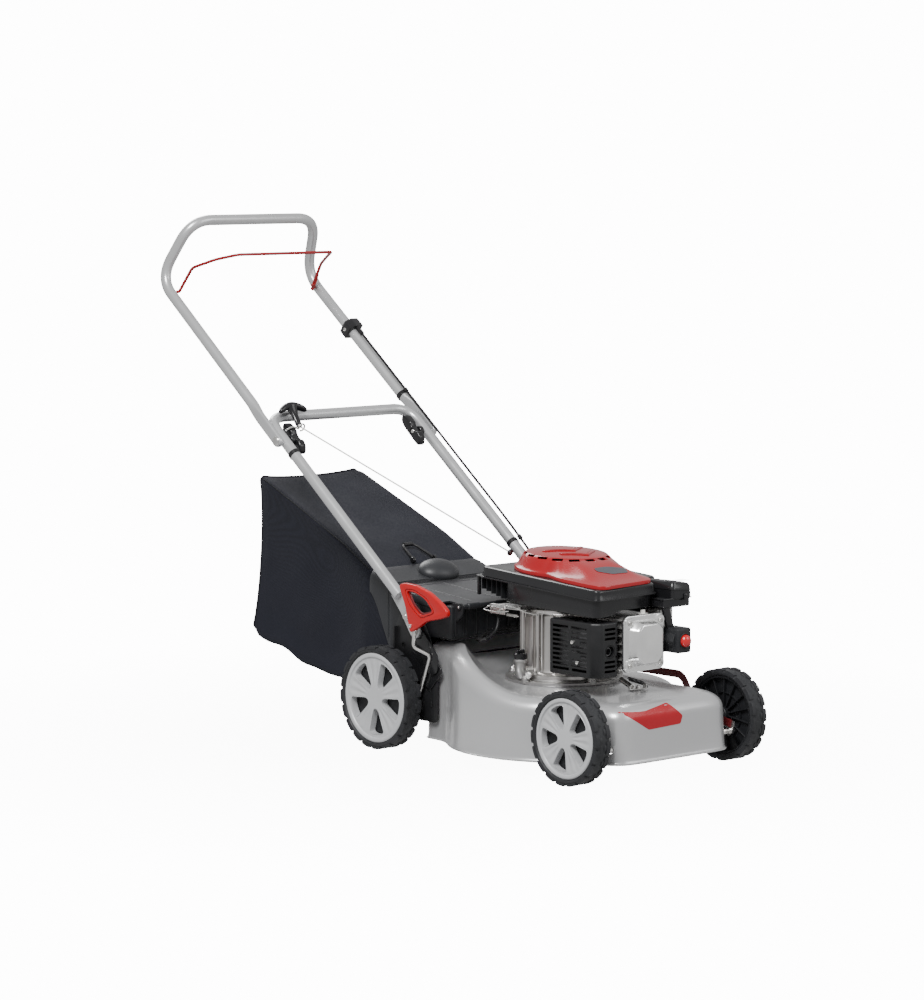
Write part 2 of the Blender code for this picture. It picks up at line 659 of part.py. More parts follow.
def make_fan_cover():
    """Red cover: a slotted dome over the starter with a nose to the front."""
    foot = arc((0, -0.040), 0.100, -55, 205, 18) + [(-0.1000, -0.1500), (-0.0960, -0.2330),
                                                   (-0.0880, -0.2385), (0.0420, -0.2240),
                                                   (0.0520, -0.2150), (0.0700, -0.1600)]
    def roof(y):
        return 0.3454 + (y + 0.2450) * 0.0210 / 0.3410
    def level(scale, lift, centre=(0.0, -0.040), nose=1.0):
        ring = []
        for x, y in foot:
            dx, dy = x - centre[0], y - centre[1]
            distance = math.hypot(dx, dy)
            pull = min(distance, 0.100) / distance
            k = scale * (pull + (1 - pull) * nose)
            px, py = centre[0] + dx * k, centre[1] + dy * k
            ring.append((px, py, roof(py) + lift))
        return ring
    outer = [level(1.0, 0.0006), level(1.0, 0.0080), level(0.95, 0.0170, nose=0.75),
             level(0.86, 0.0290, nose=0.0), level(0.76, 0.0360, nose=0.0)]
    cover = loft("fan_cover", outer)
    inner = [level(0.955, -0.0050), level(0.94, 0.0060), level(0.90, 0.0140, nose=0.70),
             level(0.81, 0.0260, nose=0.0), level(0.72, 0.0330, nose=0.0)]
    cut(cover, loft("hollow", inner))
    for i in range(12):
        angle = math.tau * (i + 0.5) / 12
        slot = box("slot", (-0.0140, -0.012, -0.0025), (0.0140, 0.012, 0.0025))
        slot.data.transform(Matrix.Rotation(angle - math.pi / 2, 4, "Z"))
        slot.data.transform(Matrix.Translation((math.cos(angle) * 0.0830, -0.040 + math.sin(angle) * 0.0830,
                                                roof(-0.040) + 0.0300)))
        cut(cover, slot)
    keep(cover, "red_plastic")


def make_crank_parts(body):
    shaft = turned("crankshaft", [(0.0, 0.0560), (0.0125, 0.0560), (0.0125, 0.1700), (0.0150, 0.1800),
                                  (0.0400, 0.1800), (0.0400, 0.1920), (0.0150, 0.1930), (0.0150, 0.2860),
                                  (0.0100, 0.2880), (0.0100, 0.3150), (0.0, 0.3150)],
                   (0, CRANK_Y, 0), "Z", 20)
    keep(shaft, "blade_steel")
    rehang(shaft, body)
    wheel = turned("flywheel", [(0.0103, 0.2960), (0.0900, 0.2960), (0.0900, 0.3060), (0.0500, 0.3080),
                                (0.0180, 0.3130), (0.0103, 0.3130)], (0, CRANK_Y, 0), "Z", 32)
    for i in range(8):
        blade = box("fan_fin", (0.040, -0.0012, 0.3040), (0.0880, 0.0012, 0.3280))
        blade.data.transform(Matrix.Rotation(math.tau * i / 8, 4, "Z"))
        blade.data.transform(Matrix.Translation((0, CRANK_Y, 0)))
        join(wheel, blade)
    keep(wheel, "cast_aluminium")
    rehang(wheel, body)
    hub = turned("blade_adapter", [(0.0128, 0.0500), (0.0240, 0.0500), (0.0240, 0.0560), (0.0190, 0.0580),
                                   (0.0190, 0.0850), (0.0128, 0.0850)], (0, CRANK_Y, 0), "Z", 20)
    keep(hub, "cast_aluminium")
    rehang(hub, body)
    half = BLADE_R
    chord = 0.0240
    plan = [(-half, -chord), (half, -chord), (half, chord), (-half, chord)]
    blade = slab("blade", plan, 0.0457, 0.0494, "Z")
    for side in (-1, 1):
        wing = box("wing", (-0.0350, 0.0120, -0.0018), (0.0350, 0.0240, 0.0018))
        wing.data.transform(Matrix.Rotation(0.55, 4, "X"))
        wing.data.transform(Matrix.Translation((0.160, 0.010, 0.0425)))
        if side < 0:
            wing.data.transform(Matrix.Rotation(math.pi, 4, "Z"))
        join(blade, wing)
    blade.data.transform(Matrix.Rotation(math.radians(28), 4, "Z"))
    blade.data.transform(Matrix.Translation((0, CRANK_Y, 0)))
    cut(blade, rod("eye", (0, CRANK_Y, 0.047), 0.0050, 0.02, "Z", 12))
    keep(blade, "blade_steel")
    rehang(blade, body)
    bolt = turned("blade_bolt", [(0.0, 0.0370), (0.0090, 0.0370), (0.0090, 0.0430), (0.0170, 0.0430),
                                 (0.0170, 0.0454), (0.0046, 0.0454), (0.0046, 0.0557), (0.0, 0.0557)],
                  (0, CRANK_Y, 0), "Z", 16)
    keep(bolt, "bright_steel")
    rehang(bolt, body)


def make_engine_fittings():
    keep(box("fuel_tank", (0.0935, -0.1550, 0.2050), (0.1370, 0.0650, 0.2920), 0.008, 2), "dark_plastic")
    cap_place = (0.085, 0.062)
    cap = turned("fuel_cap", [(0.0, 0.3640), (0.0230, 0.3640), (0.0230, 0.3740), (0.0200, 0.3770),
                              (0.0, 0.3770)], (*cap_place, 0.0035), "Z", 20)
    keep(cap, "black_plastic")
    rehang(cap, pivot("fuel_cap_axis", (*cap_place, 0.370)))
    foam = box("air_filter_element", (0.0710, -0.2500, 0.3183), (0.1080, -0.1890, 0.3340), 0.002)
    keep(foam, "foam")
    lid = box("air_filter_cover", (0.0630, -0.2600, 0.3183), (0.1160, -0.1815, 0.3500), 0.004, 2)
    cut(lid, box("lid_space", (0.0655, -0.2575, 0.3000), (0.1135, -0.1850, 0.3460)))
    keep(lid, "black_plastic")
    rehang(lid, pivot("air_filter_hinge", (0.1175, -0.2200, 0.3183)))
    carb = box("carburettor", (0.0560, -0.2300, 0.2320), (0.0980, -0.1900, 0.2990), 0.004, 1)
    join(carb, rod("bowl", (0.077, -0.210, 0.2230), 0.016, 0.020, "Z", 16))
    keep(carb, "cast_aluminium")
    primer = box("primer_housing", (0.0580, -0.2800, 0.2160), (0.0960, -0.2310, 0.2650), 0.003)
    cut(primer, rod("bulb_seat", (0.077, -0.2800, 0.2405), 0.0135, 0.0300, "Y", 20))
    keep(primer, "dark_plastic")
    bulb = turned("primer_bulb", [(0.0, -0.2710), (0.0130, -0.2710), (0.0130, -0.2800), (0.0110, -0.2860),
                                  (0.0060, -0.2895), (0.0, -0.2900)][::-1], (0.077, 0, 0.2405), "Y", 20)
    keep(bulb, "red_plastic")
    rehang(bulb, pivot("primer_axis", (0.077, -0.271, 0.2405)))
    plug = turned("dipstick", [(0.0, 0.1978), (0.0105, 0.1978), (0.0120, 0.2020), (0.0120, 0.2090),
                               (0.0060, 0.2120), (0.0, 0.2120)], (-0.1090, -0.0290, 0), "Z", 16)
    keep(plug, "black_plastic")
    rehang(plug, pivot("dipstick_axis", (-0.1090, -0.0290, 0.200)))
    arm_axis = pivot("brake_axis", (-0.1000, 0.0300, 0.2860))
    arm = slab("brake_arm", [(-0.1040, 0.0250), (-0.0960, 0.0250), (-0.0960, 0.0560),
                             (-0.0990, 0.0600), (-0.1030, 0.0590), (-0.1050, 0.0500)], 0.2845, 0.2875)
    keep(arm, "bright_steel")
    rehang(arm, arm_axis)


def make_starter():
    pulley_axis = pivot("starter_axis", (0, CRANK_Y, 0.340))
    pulley = turned("starter_pulley", [(0.0, 0.3320), (0.0560, 0.3320), (0.0580, 0.3340), (0.0500, 0.3370),
                                       (0.0580, 0.3400), (0.0560, 0.3420), (0.0, 0.3420)],
                    (0, CRANK_Y, 0), "Z", 24)
    join(pulley, box("dog", (-0.010, CRANK_Y - 0.004, 0.3400), (0.010, CRANK_Y + 0.004, 0.3500)))
    keep(pulley, "dark_plastic")
    rehang(pulley, pulley_axis)


# ---------------------------------------------------------------- handle
LEG = Vector((0, math.cos(LEG_ANGLE), math.sin(LEG_ANGLE)))
LEG_NORMAL = Vector((0, -math.sin(LEG_ANGLE), math.cos(LEG_ANGLE)))
FOLD = Vector((0, FOLD_Y, FOLD_Z))


def on_leg(side_x, along, off=0.0):
    """A point beside the fold axis: along the legs, off their centre line."""
    return Vector((side_x, 0, 0)) + FOLD + LEG * along + LEG_NORMAL * off


def strip(name, start, end, half, low_x, high_x):
    """A flattened tube end between two points along the leg, round-ended."""
    angle = math.degrees(LEG_ANGLE)
    tail = on_leg(0, start)
    head = on_leg(0, end)
    outline = arc((head.y, head.z), half, angle - 90, angle + 90, 6)
    outline += arc((tail.y, tail.z), half, angle + 90, angle + 270, 6)
    return slab(name, outline, *sorted((low_x, high_x)), "X")


def make_lower_handle():
    foot = -0.4450
    path = [on_leg(-LOWER_X, foot), on_leg(-LOWER_X, 0.0690), on_leg(LOWER_X, 0.0690),
            on_leg(LOWER_X, foot)]
    frame = tube("lower_handle", rounded(path, 0.045, 6), HANDLE_R, 4)
    high = on_leg(0, -0.4180, 0.0118)
    low = on_leg(0, -0.4180, -0.0118)
    flat = [(high.y, high.z), (0.2120, 0.2860), (0.1820, 0.2450), (0.1765, 0.2300),
            (0.1860, 0.2185), (0.1990, 0.2200), (0.2300, 0.2640), (low.y, low.z)]
    for side in (-1, 1):
        sole = slab("sole", flat, *sorted((side * 0.1747, side * 0.1826)), "X")
        cut(sole, rod("hole", (side * 0.180, 0.212, 0.262), 0.0032, 0.03, "X", 8),
            rod("hole", (side * 0.180, 0.190, 0.234), 0.0032, 0.03, "X", 8))
        cut(frame, rod("hole", (side * 0.186, FOLD_Y, FOLD_Z), 0.0038, 0.05, "X", 12))
        join(frame, sole)
    keep(frame, "tube_steel")


def make_upper_handle(body):
    start = 0.0820
    path = [on_leg(-UPPER_X, start), Vector((-0.1952, 0.9702, 0.8850)),
            Vector((-0.1642, 0.9037, 1.0053)), Vector((0.1642, 0.9037, 1.0053)),
            Vector((0.1952, 0.9702, 0.8850)), on_leg(UPPER_X, start)]
    frame = tube("upper_handle", rounded(path, 0.050, 6), HANDLE_R, 4)
    for side in (-1, 1):
        join(frame, strip("flat_end", 0.0, 0.095, 0.0118, side * 0.1980, side * 0.2080))
        cut(frame, rod("hole", (side * 0.203, FOLD_Y, FOLD_Z), 0.0038, 0.03, "X", 12))
    keep(frame, "tube_steel")
    rehang(frame, body)
    for name, side in (("fold_bolt_right", -1), ("fold_bolt_left", 1)):
        bolt = turned(name, [(0.0, 0.0), (0.0034, 0.0), (0.0034, 0.0420), (0.0085, 0.0423),
                             (0.0070, 0.0455), (0.0, 0.0462)],
                      (0.1660, FOLD_Y, FOLD_Z), "X", 12)
        if side < 0:
            bolt.data.transform(Matrix.Scale(-1, 4, (1, 0, 0)))
            bolt.data.flip_normals()
        keep(bolt, "bright_steel")
    for name, side in (("quick_lever_right", -1), ("quick_lever_left", 1)):
        outline = [(0.0440, 0.0040), (0.0360, 0.0100), (0.0060, 0.0120), (-0.0140, 0.0105),
                   (-0.0300, 0.0020), (-0.0320, -0.0080), (-0.0120, -0.0120), (0.0260, -0.0100)]
        points = []
        for along, off in outline:
            place = on_leg(0, along, off)
            points.append((place.y, place.z))
        lever = slab(name, points, *sorted((side * 0.1490, side * 0.1650)), "X")
        saddle = rod("saddle", (side * 0.1698, FOLD_Y, FOLD_Z), 0.0100, 0.0102, "X", 12)
        join(lever, saddle)
        cut(lever, rod("bolt_hole", (side * 0.1750, FOLD_Y, FOLD_Z), 0.0038, 0.0200, "X", 12))
        keep(lever, "black_plastic")
        rehang(lever, pivot(name + "_axis", on_leg(side * 0.1600, 0.0)))


def make_bail(body):
    bail_axis = pivot("bail_axis", (0, 0.9300, 0.8590), body)
    half = [Vector((-0.1835, 0.9300, 0.8590)), Vector((-0.1770, 0.9300, 0.8590)),
            Vector((-0.1705, 0.8940, 0.9090)), Vector((-0.1230, 0.8025, 0.9370))]
    path = half + [Vector((-p.x, p.y, p.z)) for p in reversed(half)]
    bail = tube("bail", rounded(path, 0.0060, 2), 0.0032, 3)
    keep(bail, "red_rod")
    rehang(bail, bail_axis)


CABLE_R = 0.0026
CABLE_X = 0.1990
CABLE_ROUTE = [(0.1960, 0.2990, 0.3740), (0.1880, 0.2300, 0.3220), (0.1800, 0.1780, 0.2950),
               (0.1740, 0.1420, 0.2790), (0.1620, 0.1060, 0.2640), (0.1320, 0.0960, 0.2500),
               (0.0800, 0.0980, 0.2420), (0.0200, 0.1000, 0.2370), (-0.0400, 0.1010, 0.2330),
               (-0.0850, 0.1000, 0.2290), (-0.1120, 0.0860, 0.2230), (-0.1180, 0.0600, 0.2260),
               (-0.1120, 0.0380, 0.2440), (-0.1010, 0.0420, 0.2660), (-0.0995, 0.0520, 0.2820)]


def smooth_route(points, step):
    """A smooth curve through the points, as evenly spaced places."""
    path = [Vector(p) for p in points]
    dense = []
    for i in range(len(path) - 1):
        before = path[max(i - 1, 0)]
        after = path[min(i + 2, len(path) - 1)]
        for k in range(12):
            t = k / 12
            a, b = path[i], path[i + 1]
            slope_a = (b - before) / 2
            slope_b = (after - a) / 2
            dense.append(a * (2 * t ** 3 - 3 * t ** 2 + 1) + slope_a * (t ** 3 - 2 * t ** 2 + t)
                         + b * (-2 * t ** 3 + 3 * t ** 2) + slope_b * (t ** 3 - t ** 2))
    dense.append(path[-1])
    out = [dense[0]]
    walked = 0.0
    for near, far in zip(dense, dense[1:]):
        walked += (far - near).length
        if walked >= step:
            out.append(far)
            walked = 0.0
    if (out[-1] - dense[-1]).length > step * 0.3:
        out.append(dense[-1])
    return out


def make_cables(body):
    """Brake cable down the left leg, in a stretch above, at and below the fold."""
    off = 0.0118 + CABLE_R + 0.0006
    anchor = strip("cable_anchor", 0.3060, 0.3300, 0.0150, 0.1800, 0.2125)
    cut(anchor, tube("leg_bore", [on_leg(UPPER_X, 0.25), on_leg(UPPER_X, 0.40)], HANDLE_R + 0.0020, 5),
        tube("cable_bore", [on_leg(CABLE_X, 0.26, off), on_leg(CABLE_X, 0.318, off)],
             CABLE_R + 0.0003, 2))
    keep(anchor, "black_plastic")
    rehang(anchor, body)
    upper = tube("brake_cable_upper", [on_leg(CABLE_X, 0.0400, off), on_leg(CABLE_X, 0.3170, off)],
                 CABLE_R, 2)
    keep(upper, "rubber")
    rehang(upper, body)
    keep(tube("brake_cable_bend", [on_leg(CABLE_X, -0.0397, off), on_leg(CABLE_X, 0.0397, off)],
              CABLE_R, 2), "rubber")
    top = [on_leg(CABLE_X, -0.0400, off), on_leg(CABLE_X, -0.1500, off), on_leg(CABLE_X, -0.2600, off)]
    lower = tube("brake_cable_lower", smooth_route(top + [Vector(p) for p in CABLE_ROUTE], 0.018),
                 CABLE_R, 2)
    keep(lower, "rubber")


ROPE_TOP = Vector((-0.1400, 0.5880, 0.6010))
ROPE_FOOT = Vector((-0.0560, 0.0560, 0.3870))
GRIP_LEAN = Vector((0.0, 0.559, 0.829))


def make_starter_grip():
    along = (ROPE_TOP - ROPE_FOOT).normalized()
    keep(tube("starter_rope", [ROPE_FOOT, ROPE_TOP - along * 0.0050], 0.0017, 2), "rope")
    ring = []
    side = Vector((1, 0, 0))
    up = along.cross(side).normalized()
    centre = ROPE_TOP - along * 0.006
    for i in range(12):
        angle = math.radians(-200 + 300 * i / 11)
        ring.append(centre + side * math.cos(angle) * 0.0075 + up * math.sin(angle) * 0.0075)
    tail = [Vector((-0.1600, 0.5850, 0.6010)), on_leg(-0.1800, 0.0150, 0.0135)]
    guide = tube("rope_guide", ring[::-1] + tail, 0.0018, 2)
    keep(guide, "bright_steel")
    axis = pivot("starter_grip_axis", ROPE_TOP)
    stem = turned("starter_grip", [(0.0, 0.0), (0.0065, 0.0), (0.0075, 0.0020), (0.0085, 0.0300),
                                   (0.0120, 0.0420), (0.0, 0.0460)], (0, 0, 0), "Z", 14)
    bar = tube("bar", rounded([Vector((-0.0350, 0, 0.0400)), Vector((-0.0200, 0, 0.0490)),
                               Vector((0.0200, 0, 0.0490)), Vector((0.0350, 0, 0.0400))], 0.03, 3),
               0.0085, 3)
    join(stem, bar)
    turn = Vector((0, 0, 1)).rotation_difference(GRIP_LEAN).to_matrix().to_4x4()
    stem.data.transform(Matrix.Translation(ROPE_TOP) @ turn)
    keep(stem, "black_plastic")
    rehang(stem, axis)


# ---------------------------------------------------------------- flap and bag
def make_flap():
    axis = pivot("flap_axis", (0, FLAP_Y, FLAP_Z))
    rear_y = FLAP_LENGTH
    sheet = slab("rear_flap", [(-0.1600, 0.0), (0.1600, 0.0), (0.1600, rear_y - 0.020),
                               (0.1500, rear_y), (-0.1500, rear_y), (-0.1600, rear_y - 0.020)],
                 0.0020, 0.0050)
    join(sheet, rod("barrel", (0, 0, 0), 0.0052, 0.2860, "X", 12),
         box("skirt", (-0.1600, 0.0500, -0.0060), (-0.1583, 0.1900, 0.0040)),
         box("skirt", (0.1583, 0.0500, -0.0060), (0.1600, 0.1900, 0.0040)))
    cut(sheet, rod("rod_bore", (0, 0, 0), 0.0028, 0.40, "X", 12))
    for side in (-1, 1):
        low, high = sorted((side * 0.1425, side * 0.1700))
        cut(sheet, box("lug_notch", (low, -0.020, -0.030), (high, 0.0360, 0.030)))
    sheet.data.transform(Matrix.Translation((0, FLAP_Y, FLAP_Z)) @ Matrix.Rotation(FLAP_TILT, 4, "X"))
    keep(sheet, "dark_plastic")
    rehang(sheet, axis)
    keep(rod("flap_rod", (0, FLAP_Y, FLAP_Z), 0.0024, 0.3040, "X", 12), "bright_steel")


def bag_section(y_top, y_bottom, half_top, half_bottom, z_bottom, z_top, inset=0.0):
    """A rounded four-sided ring across the bag."""
    corner = 0.020
    ring = []
    for side_x, top, start in ((1, True, 0), (-1, True, 90), (-1, False, 180), (1, False, 270)):
        half = (half_top if top else half_bottom) - inset - corner
        z = (z_top - inset - corner) if top else (z_bottom + inset + corner)
        for x, height in arc((side_x * half, z), corner, start, start + 90, 3):
            share = (height - z_bottom) / (z_top - z_bottom)
            ring.append(Vector((x, y_bottom + (y_top - y_bottom) * share, height)))
    return ring


BAG_SLOPE = math.radians(20.9)
BAG_SECTIONS = [
    (0.2920, 0.2920, 0.150, 0.150, 0.106, 0.3075),
    (0.3640, 0.3600, 0.147, 0.160, 0.101, 0.3350),
    (0.4600, 0.4400, 0.141, 0.165, 0.106, 0.3820),
    (0.6000, 0.5700, 0.137, 0.170, 0.136, 0.4410),
    (0.7100, 0.6850, 0.134, 0.173, 0.168, 0.4870),
    (0.7290, 0.7020, 0.130, 0.170, 0.182, 0.4920),
]


def bag_dome(name, inset):
    """The rounded bulge on the sloping front of the bag."""
    ball = bmesh.new()
    bmesh.ops.create_uvsphere(ball, u_segments=24, v_segments=12, radius=1.0)
    bmesh.ops.scale(ball, vec=(0.046 - inset, 0.035 - inset, 0.024 - inset), verts=ball.verts)
    bmesh.ops.rotate(ball, cent=(0, 0, 0), matrix=Matrix.Rotation(BAG_SLOPE, 3, "X"), verts=ball.verts)
    bmesh.ops.translate(ball, vec=(0, 0.3280, 0.3213), verts=ball.verts)
    return mesh_from(ball, name)


def make_bag():
    body = pivot("bag_slide", (0, 0.2920, 0.2000))
    skin = loft("grass_bag", [bag_section(*row) for row in BAG_SECTIONS])
    join(skin, bag_dome("dome", 0.0))
    inner_rows = [bag_section(*row, inset=0.0035) for row in BAG_SECTIONS]
    first = [p - Vector((0, 0.010, 0)) for p in inner_rows[0]]
    last = [p - Vector((0, 0.004, 0)) for p in inner_rows[-1]]
    cut(skin, loft("inside", [first] + inner_rows[1:-1] + [last]), bag_dome("dome_hollow", 0.0035))
    keep(skin, "fabric")
    rehang(skin, body)
    axis = pivot("bag_handle_axis", (0, 0.3720, 0.3436), body)
    half = [Vector((-0.0250, 0.3720, 0.3436)), Vector((-0.0250, 0.3820, 0.3486)),
            Vector((-0.0150, 0.4200, 0.3674))]
    path = half + [Vector((-p.x, p.y, p.z)) for p in reversed(half)]
    grip = tube("bag_handle", rounded(path, 0.012, 3), 0.0028, 2)
    keep(grip, "bright_steel")
    rehang(grip, axis)


# ---------------------------------------------------------------- build
clear_scene()
MOWER = new_collection("push_lawn_mower")
MIDDLE = bpy.data.objects.new("wheelbase_middle", None)
MOWER.objects.link(MIDDLE)
MIDDLE.location = (0.0, MIDDLE_Y, 0.0)

make_deck()
make_chute()
make_brackets()
make_sector()
make_running_gear()
make_crankcase()
make_head()
make_muffler()
make_shroud()
make_fan_cover()
CRANK_BODY = pivot("crank_axis", (0, CRANK_Y, 0.1))
make_crank_parts(CRANK_BODY)
make_engine_fittings()
make_starter()
make_lower_handle()
UPPER_BODY = pivot("fold_axis", FOLD)
make_upper_handle(UPPER_BODY)
make_bail(UPPER_BODY)
make_cables(UPPER_BODY)
make_starter_grip()
make_flap()
make_bag()
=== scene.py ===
"""The looks of the push lawn mower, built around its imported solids.

Places are written from the point on the ground half way between the axles,
+Y to the operator and +X to the operator's left, in metres. MIDDLE moves them
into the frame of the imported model.
"""
import math

import bmesh
import bpy
from mathutils import Matrix, Vector


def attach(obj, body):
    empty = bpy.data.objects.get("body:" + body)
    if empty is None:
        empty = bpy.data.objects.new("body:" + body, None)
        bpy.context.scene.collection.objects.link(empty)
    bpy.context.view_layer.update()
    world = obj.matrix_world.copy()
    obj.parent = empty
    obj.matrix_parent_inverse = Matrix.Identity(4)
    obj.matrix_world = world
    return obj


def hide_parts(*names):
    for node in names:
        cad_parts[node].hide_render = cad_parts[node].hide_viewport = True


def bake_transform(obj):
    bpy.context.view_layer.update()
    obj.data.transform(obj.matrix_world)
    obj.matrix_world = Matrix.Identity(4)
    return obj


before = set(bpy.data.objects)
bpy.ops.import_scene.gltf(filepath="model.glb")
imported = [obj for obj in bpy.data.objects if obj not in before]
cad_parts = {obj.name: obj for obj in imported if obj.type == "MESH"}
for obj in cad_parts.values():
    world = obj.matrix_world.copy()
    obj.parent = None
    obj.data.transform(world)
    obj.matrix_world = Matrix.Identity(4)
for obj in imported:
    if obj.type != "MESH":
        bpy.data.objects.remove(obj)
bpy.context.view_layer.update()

MIDDLE = Matrix.Translation((0.0, -0.307, 0.0))
AXIS_TURN = {"X": Matrix.Rotation(math.pi / 2, 4, "Y"), "Y": Matrix.Rotation(-math.pi / 2, 4, "X"),
             "Z": Matrix.Identity(4)}
X_AXIS, Y_AXIS, Z_AXIS = (1, 0, 0), (0, 1, 0), (0, 0, 1)
SIDES = (("right", -1), ("left", 1))


# ---------------------------------------------------------------- materials
class Surface:
    """A Principled material whose colour, roughness and bump come from nodes."""

    def __init__(self, name, colour, rough, metal=0.0, coat=0.0, sheen=0.0, specular=0.5):
        self.material = bpy.data.materials.new(name)
        self.material.use_nodes = True
        self.tree = self.material.node_tree
        self.shader = self.tree.nodes["Principled BSDF"]
        self.colour = colour
        self.rough = rough
        for socket, value in (("Base Color", (*colour, 1.0)), ("Roughness", rough), ("Metallic", metal),
                              ("Coat Weight", coat), ("Coat Roughness", 0.08), ("Sheen Weight", sheen),
                              ("Specular IOR Level", specular)):
            self.shader.inputs[socket].default_value = value
        self.place = self.node("ShaderNodeTexCoord").outputs["Object"]
        self.last_bump = None

    def node(self, kind, **settings):
        made = self.tree.nodes.new(kind)
        for key, value in settings.items():
            setattr(made, key, value)
        return made

    def link(self, start, end):
        self.tree.links.new(start, end)

    def stretched(self, scale):
        mapping = self.node("ShaderNodeMapping")
        mapping.inputs["Scale"].default_value = scale
        self.link(self.place, mapping.inputs["Vector"])
        return mapping.outputs["Vector"]

    def noise(self, scale, detail=3.0, stretch=None):
        made = self.node("ShaderNodeTexNoise")
        made.inputs["Scale"].default_value = scale
        made.inputs["Detail"].default_value = detail
        self.link(self.stretched(stretch) if stretch else self.place, made.inputs["Vector"])
        return made.outputs["Fac"]

    def cells(self, scale, feature="F1"):
        made = self.node("ShaderNodeTexVoronoi", feature=feature)
        made.inputs["Scale"].default_value = scale
        self.link(self.place, made.inputs["Vector"])
        return made.outputs["Distance"]

    def waves(self, scale, direction, distortion=0.0):
        made = self.node("ShaderNodeTexWave", wave_type="BANDS", bands_direction=direction)
        made.inputs["Scale"].default_value = scale
        made.inputs["Distortion"].default_value = distortion
        self.link(self.place, made.inputs["Vector"])
        return made.outputs["Fac"]

    def mapped(self, value, low, high, from_low=0.3, from_high=0.7):
        made = self.node("ShaderNodeMapRange")
        for socket, number in (("From Min", from_low), ("From Max", from_high), ("To Min", low),
                               ("To Max", high)):
            made.inputs[socket].default_value = number
        self.link(value, made.inputs["Value"])
        return made.outputs["Result"]

    def math(self, operation, first, second):
        made = self.node("ShaderNodeMath", operation=operation)
        for socket, value in zip(made.inputs, (first, second)):
            if isinstance(value, (int, float)):
                socket.default_value = value
            else:
                self.link(value, socket)
        return made.outputs[0]

    def tint(self, value, other, amount=1.0):
        """Mixes another colour in where value is high."""
        mix = self.node("ShaderNodeMix", data_type="RGBA")
        factor = self.math("MULTIPLY", value, amount)
        self.link(factor, mix.inputs["Factor"])
        socket = self.shader.inputs["Base Color"]
        if socket.links:
            self.link(socket.links[0].from_socket, mix.inputs["A"])
        else:
            mix.inputs["A"].default_value = (*self.colour, 1.0)
        mix.inputs["B"].default_value = (*other, 1.0)
        self.link(mix.outputs["Result"], socket)
        return self

    def shade(self, scale, amount, stretch=None):
        """Light and dark drift of the colour over the surface."""
        drift = self.mapped(self.noise(scale, 4.0, stretch), 0.0, 1.0)
        return self.tint(drift, tuple(c * (1.0 - amount) for c in self.colour))

    def uneven(self, scale, amount, stretch=None):
        """Roughness that changes over the surface."""
        value = self.mapped(self.noise(scale, 4.0, stretch), self.rough - amount, self.rough + amount)
        self.link(value, self.shader.inputs["Roughness"])
        return self

    def bump(self, height, strength, distance=0.0005):
        made = self.node("ShaderNodeBump")
        made.inputs["Strength"].default_value = strength
        made.inputs["Distance"].default_value = distance
        self.link(height, made.inputs["Height"])
        if self.last_bump:
            self.link(self.last_bump, made.inputs["Normal"])
        self.last_bump = made.outputs["Normal"]
        self.link(self.last_bump, self.shader.inputs["Normal"])
        return self

    def worn_edges(self, colour, amount=0.5, radius=0.0012):
        """Lighter, rubbed edges."""
        bevel = self.node("ShaderNodeBevel", samples=4)
        bevel.inputs["Radius"].default_value = radius
        normal = self.node("ShaderNodeNewGeometry").outputs["Normal"]
        dot = self.node("ShaderNodeVectorMath", operation="DOT_PRODUCT")
        self.link(bevel.outputs["Normal"], dot.inputs[0])
        self.link(normal, dot.inputs[1])
        edge = self.mapped(dot.outputs["Value"], 1.0, 0.0, 0.8, 0.98)
        broken = self.math("MULTIPLY", edge, self.mapped(self.noise(60.0, 4.0), 0.0, 1.0, 0.4, 0.6))
        return self.tint(broken, colour, amount)


